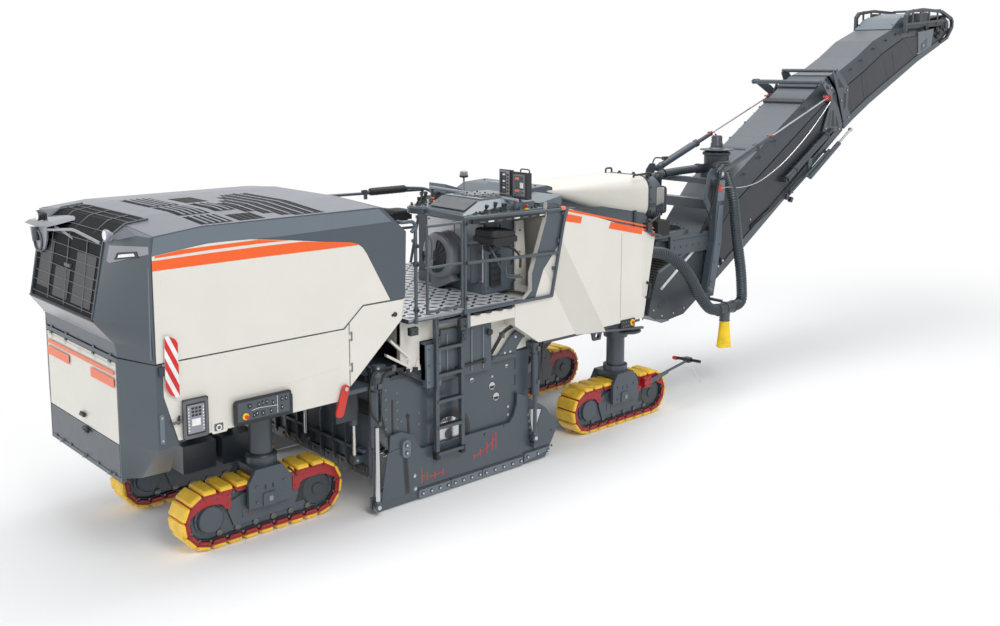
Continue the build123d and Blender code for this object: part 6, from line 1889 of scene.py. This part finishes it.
def upper_fittings():
    """Hinge plates, cross tube, shoulder bolts, end panel, tip frame with windows, head drum and lid."""
    shape = Shape()
    for side in (-1, 1):
        y0, y1 = side * 0.4505, side * 0.463
        shape.side([(10.13, 4.29), (10.23, 4.35), (10.33, 4.3), (10.62, 4.06), (10.6, 3.76), (10.745, 3.56),
            (10.56, 3.45), (10.48, 3.56), (10.34, 3.9)], y0, y1, "slate_paint")
        for outline in ([(10.28, 4.22), (10.48, 4.06), (10.32, 4.06)],
                [(10.48, 3.72), (10.54, 3.74), (10.55, 3.96), (10.48, 3.98)]):
            shape.side(outline, y1, y1 + side * 0.0015, "black_plastic")
        for x, z in ((10.24, 4.29), (10.64, 3.59), (10.56, 4.02), (10.4, 3.86)):
            disc(shape, x, y1, z, side, 0.022, 0.004, "dark_paint", 20)
            shape.bolt((x, y1 + side * 0.003, z), (0, side, 0), 0.013, 0.008, "bare_metal")
        for x, z in ((10.75, 4.36), (11.06, 4.5), (11.42, 4.69), (11.8, 4.83), (12.1, 4.93), (12.5, 4.97)):
            shape.bar((x + 0.02, side * 0.395, z - 0.02), (x + 0.018, side * 0.405, z - 0.01), 0.016,
                "black_plastic", 18)
            shape.bolt((x - 0.12, side * 0.32, z - 0.03), (-0.4, 0, 0.9), 0.008, 0.004, "dark_paint")
        for x, z in ((10.8, 3.66), (11.86, 4.16), (12.79, 4.6)):
            shape.bolt((x, side * wall_half, z), (0, side, 0), 0.014, 0.012, "bare_metal")
        for x in (11.15, 12.08):
            low = 3.74 + (x - 11.15) * 0.43
            shape.side([(x, low), (x + 0.006, low), (x - 0.15, low + 0.5), (x - 0.156, low + 0.5)],
                side * wall_half, side * (wall_half + 0.002), "black_plastic")
        # End panel, in slate drawn in painted light, and its fittings.
        shape.side([(12.76, 4.96), (13.3, 5.03), (13.24, 4.73), (12.8, 4.58)], side * wall_half,
            side * (wall_half + 0.012), "slate_light")
        shape.side([(12.88, 4.76), (13.08, 4.86), (13.08, 4.72), (12.88, 4.64)], side * (wall_half + 0.012),
            side * (wall_half + 0.016), "slate_paint")
        disc(shape, 12.95, side * (wall_half + 0.014), 4.74, side, 0.018, 0.01, "bare_metal", 16)
        for x, z, radius in ((13.42, 5.02, 0.045), (13.52, 4.96, 0.035), (13.44, 4.9, 0.04),
                (13.56, 5.06, 0.03)):
            shape.lathe((x, side * wall_half, z), (0, side * 0.03, 0),
                [(radius, 0), (radius, 0.6), (radius * 0.6, 1)], "black_plastic", 20)
        shape.lathe((13.75, side * 0.43, 5.1), (0, side * 0.045, 0),
            [(0.1, 0), (0.1, 0.5), (0.06, 0.6), (0.06, 1)], "dark_paint", 28)
        # Tip frame, in slate drawn in painted half shade, its inner sheets in deep painted shade.
        y = side * 0.455
        outer = [(12.3, 4.96), (12.3, 5.225), (12.4, 5.31), (12.88, 5.365), (13.56, 5.352), (13.93, 5.24),
            (13.985, 5.18), (13.985, 5.06), (13.8, 4.86), (13.56, 4.775)]
        inner = [(12.35, 4.96), (12.35, 5.2), (12.425, 5.262), (12.89, 5.318), (13.55, 5.305),
            (13.905, 5.2), (13.94, 5.16), (13.94, 5.08), (13.77, 4.9), (13.545, 4.82)]
        for i in range(len(outer) - 1):
            shape.side([outer[i], outer[i + 1], inner[i + 1], inner[i]], y - side * 0.028, y + side * 0.024,
                "slate_in_half_shade")
        shape.side([(12.35, 5.06), (13.64, 5.16), (13.64, 5.2), (12.35, 5.1)], y - side * 0.01,
            y + side * 0.01, "slate_in_half_shade")
        for x in (12.56, 12.82, 13.12, 13.42):
            shape.side([(x - 0.02, 5.1), (x + 0.02, 5.105), (x + 0.02, 5.34), (x - 0.02, 5.33)],
                y - side * 0.008, y + side * 0.008, "slate_in_half_shade")
        for row in (([(12.35, 5.005), (13.66, 5.09), (13.66, 5.17), (12.35, 5.07)], y - side * 0.005,
                y - side * 0.02), ([(12.85, 5.14), (13.08, 5.15), (13.08, 5.3), (12.85, 5.295)],
                y - side * 0.004, y - side * 0.012), ([(13.3, 5.03), (13.62, 5.06), (13.88, 5.18),
                (13.9, 5.02), (13.74, 4.9), (13.54, 4.79), (13.24, 4.73)], side * 0.42, side * 0.432)):
            shape.side(*row, "slate_in_deep_shade")
    shape.bar((10.21, -0.49, 4.32), (10.21, 0.49, 4.32), 0.028, "slate_paint", 20)
    shape.bar((13.75, -0.4, 5.08), (13.75, 0.4, 5.08), 0.165, "cast_grey", 40)
    belt = [(13.74, 5.262), (13.84, 5.232), (13.91, 5.16), (13.928, 5.07), (13.895, 4.98), (13.82, 4.92),
        (13.7, 4.9), (13.5, 4.815), (13.5, 4.8), (13.705, 4.885), (13.828, 4.906), (13.908, 4.97),
        (13.944, 5.07), (13.925, 5.168), (13.85, 5.246), (13.742, 5.278), (13.2, 5.19), (13.2, 5.175)]
    shape.side(belt, -0.39, 0.39, "black_rubber")
    # Lid in slate drawn in painted light on its top.
    shape.solid([[(12.08, y, 5.0), (12.35, y, 5.18), (12.9, y, 5.285), (13.42, y, 5.3), (13.42, y, 5.285),
        (12.904, y, 5.27), (12.36, y, 5.165), (12.11, y, 4.99)] for y in (-0.33, 0.33)], "slate_light")
    for side in (-1, 1):
        shape.solid([[(x, side * y, z) for x, z in ((12.09, 4.985), (12.35, 5.18), (12.9, 5.285),
            (13.42, 5.3), (13.3, 5.12), (12.4, 5.02))] for y in (0.332, 0.322)], "slate_paint")
        for x, z in ((12.18, 5.075), (12.45, 5.21), (12.75, 5.262)):
            shape.bolt((x, side * 0.3, z), (-0.3, 0, 0.95), 0.01, 0.008, "dark_paint")
    shape.bar((13.56, -0.44, 5.352), (13.56, 0.44, 5.352), 0.02, "slate_paint", 14)
    lamp_bar = Vector((13.0, -0.45, 5.05))
    shape.lathe(lamp_bar, (0.03, -0.03, -0.03), [(0.03, 0), (0.045, 0.4), (0.045, 1)], "black_plastic", 20)
    shape.finish("upper_section_fittings", "upper_belt", 0.002)


def corrugated(points, radius, name):
    """Ribbed hose along points."""
    route = rounded([Vector(p) for p in points], 0.26, 9)
    spots = [route[0]]
    for ahead in route[1:]:
        gap = (ahead - spots[-1]).length
        while gap > 0.0175:
            spots.append(spots[-1] + (ahead - spots[-1]).normalized() * 0.0175)
            gap = (ahead - spots[-1]).length
    shape = Shape()
    rings = []
    side_way = None
    for i, spot in enumerate(spots):
        along = (spots[min(i + 2, len(spots) - 1)] - spots[max(i - 2, 0)]).normalized()
        side_way = along.orthogonal() if side_way is None else side_way - along * side_way.dot(along)
        side_way.normalize()
        other = along.cross(side_way)
        size = radius if i % 2 else radius - 0.0075
        rings.append([spot + (side_way * math.cos(a) + other * math.sin(a)) * size
            for a in (math.pi * k / 12 for k in range(24))])
    shape.solid(rings, "hose_grey")
    return shape.finish(name, None, 0, smooth=30, slot="black_rubber")


def dust_extraction():
    """Fan on the conveyor, its hoses, the tee with its discharge sleeve, and the hose to the body."""
    cx, rim = 7.87, 3.19
    fan = Shape()
    fan.lathe((cx, 0, 2.86), (0, 0, 0.33), [(0.15, 0), (0.178, 0.15), (0.178, 0.78), (0.2, 0.8), (0.2, 0.9),
        (0.17, 0.93), (0.15, 1)], "dark_paint", 40)
    fan.lathe((cx, 0, rim), (0, 0, 0.04), [(0.24, 0), (0.24, 0.35), (0.12, 0.5), (0.1, 1)], "slate_paint",
        40)
    fan.lathe((cx, 0, rim + 0.03), (0, 0, 0.18), [(0.088, 0), (0.088, 0.35), (0.078, 0.42), (0.078, 0.88),
        (0.06, 1)], "dark_paint", 28)
    for a in around(10):
        fan.bolt((cx + 0.186 * math.cos(a), 0.186 * math.sin(a), 3.155), (0, 0, 1), 0.01, 0.012)
    for y, x in ((0.09, 7.95), (0.12, 7.98)):
        hose(fan, [(cx + 0.03, 0.03, 3.37), (x, y, 3.42), (x + 0.06, y, 3.36), (x + 0.06, y + 0.03, 3.1)],
            0.01)
    fan.block(7.7, 8.06, -0.15, 0.15, 2.76, 2.88, "slate_paint")
    fan.lathe((cx - 0.1, -0.1, 2.96), (-0.17, -0.225, 0.0),
        [(0.086, 0), (0.086, 0.7), (0.093, 0.75), (0.093, 1)], "slate_paint", 28)
    fan.lathe((cx - 0.1, 0.08, 2.93), (-0.21, 0.04, 0.0),
        [(0.064, 0), (0.064, 0.7), (0.072, 0.75), (0.072, 1)], "dark_paint", 28)
    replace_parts(fan.finish("fan", "lower_belt"), "suction_fan")
    tee = Shape()
    x, y, z = 6.94, -0.9, 1.13
    tee.bar((x - 0.17, y, z + 0.012), (x + 0.17, y, z + 0.012), 0.08, "hose_grey", 28)
    for way in (-1, 1):
        tee.ring((x + way * 0.165, y, z + 0.012), (1, 0, 0), 0.081, 0.006, "dark_paint")
    tee.lathe((x, y, z), (0, 0, -0.155), [(0.074, 0), (0.074, 0.5), (0.07, 0.52), (0.07, 1)], "slate_paint",
        28)
    sleeve = []
    for depth, wide, deep in ((0.985, 0.066, 0.066), (0.93, 0.07, 0.06), (0.76, 0.085, 0.04),
            (0.6, 0.104, 0.03)):
        sleeve.append([(x + 0.74 * wide * math.cos(a) + 0.67 * deep * math.sin(a),
            y - 0.67 * wide * math.cos(a) + 0.74 * deep * math.sin(a),
            depth - (0.012 * math.cos(3 * a) if depth < 0.7 else 0)) for a in around(24)])
    tee.solid(sleeve, "yellow")
    tee.ring((x, y, 0.975), (0, 0, 1), 0.07, 0.005, "cast_grey")
    tee.block(x - 0.02, x + 0.02, y + 0.05, -0.6, z + 0.085, z + 0.12, "slate_paint")
    tee.block(x - 0.05, x + 0.05, -0.615, -0.6, z + 0.05, z + 0.19, "slate_paint")
    tee.ring((x, y, z + 0.012), (1, 0, 0), 0.085, 0.008, "cast_grey")
    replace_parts(tee.finish("dust_tee", "swivel", 0.002, slot="slate_paint"), "dust_riser")
    upper = corrugated([(7.09, -0.9, 1.142), (7.33, -0.9, 1.16), (7.35, -0.86, 1.56), (7.36, -0.76, 2.06),
        (7.42, -0.64, 2.62), (7.56, -0.4, 2.92), (7.62, -0.3, 2.955)], 0.076, "hose_to_fan")
    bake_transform(upper)
    rear = corrugated([(6.79, -0.9, 1.142), (6.6, -0.9, 1.18), (6.38, -0.9, 1.39), (6.17, -0.9, 1.69),
        (5.92, -0.9, 1.91), (5.6, -0.895, 2.07), (5.02, -0.86, 2.12)], 0.076, "hose_to_body")
    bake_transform(rear)
    tie = (6.88, 0.16, 2.9)
    first = corrugated([(7.6, 0.12, 2.93), (7.2, 0.13, 2.92), tie], 0.058, "hose_fan_to_tie")
    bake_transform(first)
    second = corrugated([tie, (6.5, 0.22, 2.82), (6.23, 0.26, 2.74)], 0.058, "hose_tie_to_head")
    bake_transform(second)


def swivel_details():
    """Post heads, gussets, beam, bolt circle, pins and step plates of the slewing frame."""
    shape = Shape()
    for side in (-1, 1):
        y = side * 0.602
        for x, z in ((7.0, 1.35), (7.19, 2.93)):
            disc(shape, x, y - side * 0.01, z, side, 0.052, 0.02, "slate_light")
            disc(shape, x, y + side * 0.008, z, side, 0.026, 0.014, "bare_metal", 20)
        for row in (([(6.88, 2.56), (7.06, 2.3), (7.13, 2.85), (7.15, 3.0), (7.04, 3.01), (6.96, 2.93)],
                side * 0.535, side * 0.552, "slate_paint"),
                ([(6.955, 2.64), (7.05, 2.48), (7.08, 2.8), (7.02, 2.88)], side * 0.552, side * 0.554,
                "black_plastic"), ([(7.1, 2.56), (7.252, 2.56), (7.262, 2.84), (7.122, 2.84)],
                y - side * 0.002, y + side * 0.012, "slate_light"),
                ([(6.96, 1.3), (7.07, 1.3), (7.22, 2.0), (7.245, 2.5), (7.15, 2.5), (7.08, 2.0)],
                y - side * 0.002, y + side * 0.006, "slate_light"),
                ([(7.09, 2.7), (7.18, 2.7), (7.18, 2.78), (7.11, 2.78)], y + side * 0.01, y + side * 0.03,
                "lever_red")):
            shape.side(*row)
        shape.ring((7.15, y + side * 0.026, 2.735), (0, 1, 0), 0.03, 0.008, "lever_red", 20)
        shape.block(6.28, 7.05, side * 0.47, side * 0.5, 2.085, 2.092, "slate_light")
        for i in range(6):
            shape.bolt((6.34 + i * 0.13, side * 0.5, 1.99), (0, side, 0), 0.014)
        for x, z in ((6.95, 1.46), (7.02, 1.72), (7.12, 1.96)):
            shape.bolt((x + 0.05, y + side * 0.005, z), (0, side, 0), 0.013, 0.009)
    shape.block(7.1, 7.235, -0.505, 0.505, 2.43, 2.56, "slate_paint")
    shape.block(7.098, 7.237, -0.44, 0.44, 2.558, 2.564, "slate_light")
    shape.ring((6.88, 0.16, 2.9), (1, 0, 0.2), 0.062, 0.009, "dark_paint")
    shape.tube([(6.88, 0.2, 2.852), (6.9, 0.23, 2.825), (7.13, 0.25, 2.82)], 0.014, "slate_paint", 12)
    hose(shape, [(6.9, -0.48, 2.1), (6.96, -0.56, 2.26), (7.01, -0.64, 2.6), (7.08, -0.65, 2.86),
        (7.19, -0.6, 3.01)], 0.011)
    hose(shape, [(6.87, -0.48, 2.1), (6.93, -0.57, 2.28), (6.98, -0.655, 2.62), (7.06, -0.665, 2.88),
        (7.2, -0.62, 3.04)], 0.011)
    shape.finish("swivel_details", "swivel")
    ring = Shape()
    for a in around(28):
        x, y = 6.45 + 0.44 * math.cos(a), 0.44 * math.sin(a)
        if x > 5.95:
            ring.bolt((x, y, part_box("slewing_support")[1][2]), (0, 0, 1), 0.015, 0.012)
    for side in (-1, 1):
        ring.bar((5.06, side * 0.52, 2.0), (5.7, side * 0.5, 2.0), 0.046, "slate_paint", 24)
        ring.bar((5.7, side * 0.5, 2.0), (5.98, side * 0.49, 2.0), 0.024, "chrome_rod", 20)
        ring.lathe((5.98, side * 0.49, 1.965), (0, 0, 0.085), [(0.05, 0), (0.05, 1)], "slate_paint")
        ring.bar((5.69, side * 0.5, 2.0), (5.72, side * 0.499, 2.0), 0.052, "dark_paint", 24)
    ring.finish("slewing_details", "chassis", 0.002, slot="slate_paint")


def stays():
    """Glands, eyes and red shackles of the luffing cylinders."""
    slope = Vector((9.95 - 7.19, 0, 3.93 - 2.93)).normalized()
    for body, node, parts in (("luff_barrels", "luff_barrels", True), ("luff_rods", "luff_rods", False)):
        shape = Shape()
        for side in (-1, 1):
            base = Vector((7.19, side * 0.53, 2.93))
            if parts:
                shape.lathe(base + slope * 0.9, slope * 0.07,
                    [(0.052, 0), (0.057, 0.2), (0.057, 0.8), (0.036, 1)], "dark_paint", 28)
                shape.lathe(base + slope * 0.06, slope * 0.06, [(0.05, 0), (0.056, 0.5), (0.05, 1)],
                    "dark_paint", 28)
                port = base + slope * 0.2 + Vector((0, side * 0.02, 0.04))
                shape.block(port.x - 0.05, port.x + 0.05, port.y - 0.022, port.y + 0.022, port.z,
                    port.z + 0.05, "cast_grey")
                run = base + Vector((0, side * 0.04, 0.034))
                shape.bar(run + slope * 0.22, run + slope * 0.86, 0.009, "dark_paint", 10)
                hose(shape, [run + slope * 0.2 + Vector((0, 0, 0.03)), run + Vector((-0.02, 0, 0.12)),
                    run + Vector((-0.07, 0, 0.02))], 0.01)
            else:
                shape.bar(base + slope * 0.9, base + slope * 1.29, 0.031, "slate_in_half_shade", 24)
                for share in (1.32, 2.86):
                    eye = base + slope * share
                    shape.ring(eye, (0, 1, 0), 0.03, 0.011, "lever_red", 20)
                    shape.bar(eye + Vector((-0.02, -0.045, 0.018)), eye + Vector((-0.02, 0.045, 0.018)),
                        0.013, "lever_red", 14)
                    shape.ring(eye + slope * 0.05, (0, 0, 1), 0.024, 0.008, "cast_grey", 18)
                shape.lathe(base + slope * 1.25, slope * 0.07, [(0.026, 0), (0.032, 0.3), (0.032, 1)],
                    "dark_paint", 20)
        shape.finish(node + "_fittings", body, 0.001)


def sight_arm():
    """Arm on the front right track that carries the direction sight and its pointer."""
    shape = Shape()
    shape.block(5.2, 5.33, -0.99, -0.932, 0.4, 0.52, "red_paint")
    for x, z in ((5.225, 0.425), (5.305, 0.425), (5.225, 0.495), (5.305, 0.495)):
        shape.bolt((x, -0.99, z), (0, -1, 0), 0.01)
    shape.bar((5.3, -0.96, 0.46), (6.15, -0.92, 0.57), 0.017, "slate_paint", 14)
    shape.bar((5.32, -0.96, 0.44), (5.7, -0.94, 0.5), 0.022, "slate_paint", 14)
    shape.bar((6.14, -1.12, 0.59), (6.15, -0.7, 0.56), 0.02, "black_rubber", 14)
    shape.block(6.105, 6.185, -0.96, -0.87, 0.545, 0.605, "dark_paint")
    shape.lathe((6.14, -0.74, 0.56), (0.002, 0.06, -0.004), [(0.026, 0), (0.026, 1)], "lever_red", 16)
    shape.tube([(6.15, -0.72, 0.555), (6.4, -0.7, 0.53), (6.72, -0.68, 0.12)], 0.008, "bare_metal", 10,
        0.06)
    shape.lathe((6.718, -0.68, 0.123), (0.03, 0, -0.046), [(0.01, 0), (0.012, 0.5), (0.002, 1)],
        "bare_metal", 12)
    shape.finish("sight_arm", "track_front_right", 0.001, slot="slate_paint")


def slack_wire():
    """Safety wire that hangs beside the conveyor, in its parked shape."""
    shape = Shape()
    points = [(7.14, -0.632, 2.735), (7.3, -0.62, 2.745), (7.56, -0.605, 2.71), (7.85, -0.592, 2.715),
        (8.15, -0.59, 2.77), (8.66, -0.59, 2.97), (9.2, -0.59, 3.3), (9.6, -0.59, 3.6), (9.9, -0.59, 3.86)]
    shape.tube(points, 0.0065, "bare_metal", 8, 0.3)
    wire = shape.finish("safety_wire", None, 0)
    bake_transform(wire)


tail_trough()
lower_fittings()
upper_fittings()
dust_extraction()
swivel_details()
stays()
sight_arm()
slack_wire()


# ---------------------------------------------------------------- floor, light, camera
def combine(tree, operation, first, second):
    """Maths node over two values."""
    node = tree.nodes.new("ShaderNodeMath")
    node.operation = operation
    tree.links.new(first, node.inputs[0])
    tree.links.new(second, node.inputs[1])
    return node.outputs[0]


def shown_white(tree, lit):
    """Plain white for camera, glossy and transmission rays; other rays get the lit shader."""
    path = tree.nodes.new("ShaderNodeLightPath")
    seen = combine(tree, "MAXIMUM", path.outputs["Is Camera Ray"], path.outputs["Is Glossy Ray"])
    through = combine(tree, "MAXIMUM", seen, path.outputs["Is Transmission Ray"])
    mix = tree.nodes.new("ShaderNodeMixShader")
    tree.links.new(through, mix.inputs["Fac"])
    tree.links.new(lit, mix.inputs[1])
    return mix


def studio():
    """White floor that keeps the machine's shadow close by and fades to plain white further off."""
    floor_mesh = bpy.data.meshes.new("studio_floor")
    size = 90.0
    floor_mesh.from_pydata([(-size, -size, 0), (size, -size, 0), (size, size, 0), (-size, size, 0)], [],
        [(0, 1, 2, 3)])
    floor = bpy.data.objects.new("studio_floor", floor_mesh)
    floor.location.z = -0.002
    bpy.context.collection.objects.link(floor)
    material, tree, shader = new_material("studio floor")
    socket(shader, "Base Color", (0.9, 0.9, 0.9, 1))
    socket(shader, "Roughness", 0.9)
    glow = tree.nodes.new("ShaderNodeEmission")
    glow.inputs["Color"].default_value = (1, 1, 1, 1)
    path = tree.nodes.new("ShaderNodeLightPath")
    coords = tree.nodes.new("ShaderNodeTexCoord")
    squeeze = tree.nodes.new("ShaderNodeMapping")
    squeeze.inputs["Location"].default_value = (0.03, 0.0, 0.0)
    squeeze.inputs["Scale"].default_value = (0.075, 0.19, 1.0)
    distance = tree.nodes.new("ShaderNodeVectorMath")
    distance.operation = "LENGTH"
    tree.links.new(coords.outputs["Object"], squeeze.inputs["Vector"])
    tree.links.new(squeeze.outputs["Vector"], distance.inputs[0])
    fade = tree.nodes.new("ShaderNodeMapRange")
    fade.interpolation_type = "SMOOTHSTEP"
    fade.inputs["From Min"].default_value = 0.45
    fade.inputs["From Max"].default_value = 1.0
    tree.links.new(distance.outputs["Value"], fade.inputs["Value"])
    seen = combine(tree, "MULTIPLY", fade.outputs["Result"], path.outputs["Is Camera Ray"])
    glossy = combine(tree, "MAXIMUM", seen, path.outputs["Is Glossy Ray"])
    mix = tree.nodes.new("ShaderNodeMixShader")
    tree.links.new(glossy, mix.inputs["Fac"])
    tree.links.new(shader.outputs[0], mix.inputs[1])
    tree.links.new(glow.outputs[0], mix.inputs[2])
    tree.links.new(mix.outputs[0], tree.nodes["Material Output"].inputs["Surface"])
    floor_mesh.materials.append(material)

    world = bpy.data.worlds.new("studio")
    bpy.context.scene.world = world
    world.use_nodes = True
    tree = world.node_tree
    background = tree.nodes["Background"]
    background.inputs["Color"].default_value = (0.95, 0.97, 1.0, 1)
    background.inputs["Strength"].default_value = 0.62
    white = tree.nodes.new("ShaderNodeBackground")
    white.inputs["Color"].default_value = (1, 1, 1, 1)
    mix = shown_white(tree, background.outputs[0])
    tree.links.new(white.outputs[0], mix.inputs[2])
    tree.links.new(mix.outputs[0], tree.nodes["World Output"].inputs["Surface"])

    lamps = [
        # name, place, target, size, watts
        ("key", (-7.0, -13.0, 12.0), (-0.5, 0, 1.2), 7.0, 1150),
        ("fill", (-17.0, 4.0, 7.0), (-4, 0, 1.5), 7.0, 520),
        ("top", (1.0, 1.0, 15.0), (0, 0, 1.0), 10.0, 1250),
    ]
    for name, place, target, width, watts in lamps:
        lamp = bpy.data.lights.new(name, "AREA")
        lamp.size = width
        lamp.energy = watts
        holder = bpy.data.objects.new(name, lamp)
        holder.location = place
        holder.rotation_euler = (Vector(target) - Vector(place)).to_track_quat("-Z", "Y").to_euler()
        bpy.context.collection.objects.link(holder)


def camera():
    lens = bpy.data.cameras.new("camera")
    lens.sensor_width = 36.0
    lens.lens = 39.16
    lens.shift_x = 0.0
    lens.shift_y = -0.1
    lens.clip_end = 200.0
    holder = bpy.data.objects.new("camera", lens)
    holder.location = at(-4.977, -9.59, 4.4)
    pitch_down = math.radians(7.7226)
    heading = math.radians(48.016)
    holder.rotation_euler = (math.pi / 2 - pitch_down, 0.0, heading - math.pi / 2)
    bpy.context.collection.objects.link(holder)
    bpy.context.scene.camera = holder


studio()
camera()
bpy.context.scene.view_settings.view_transform = "Standard"
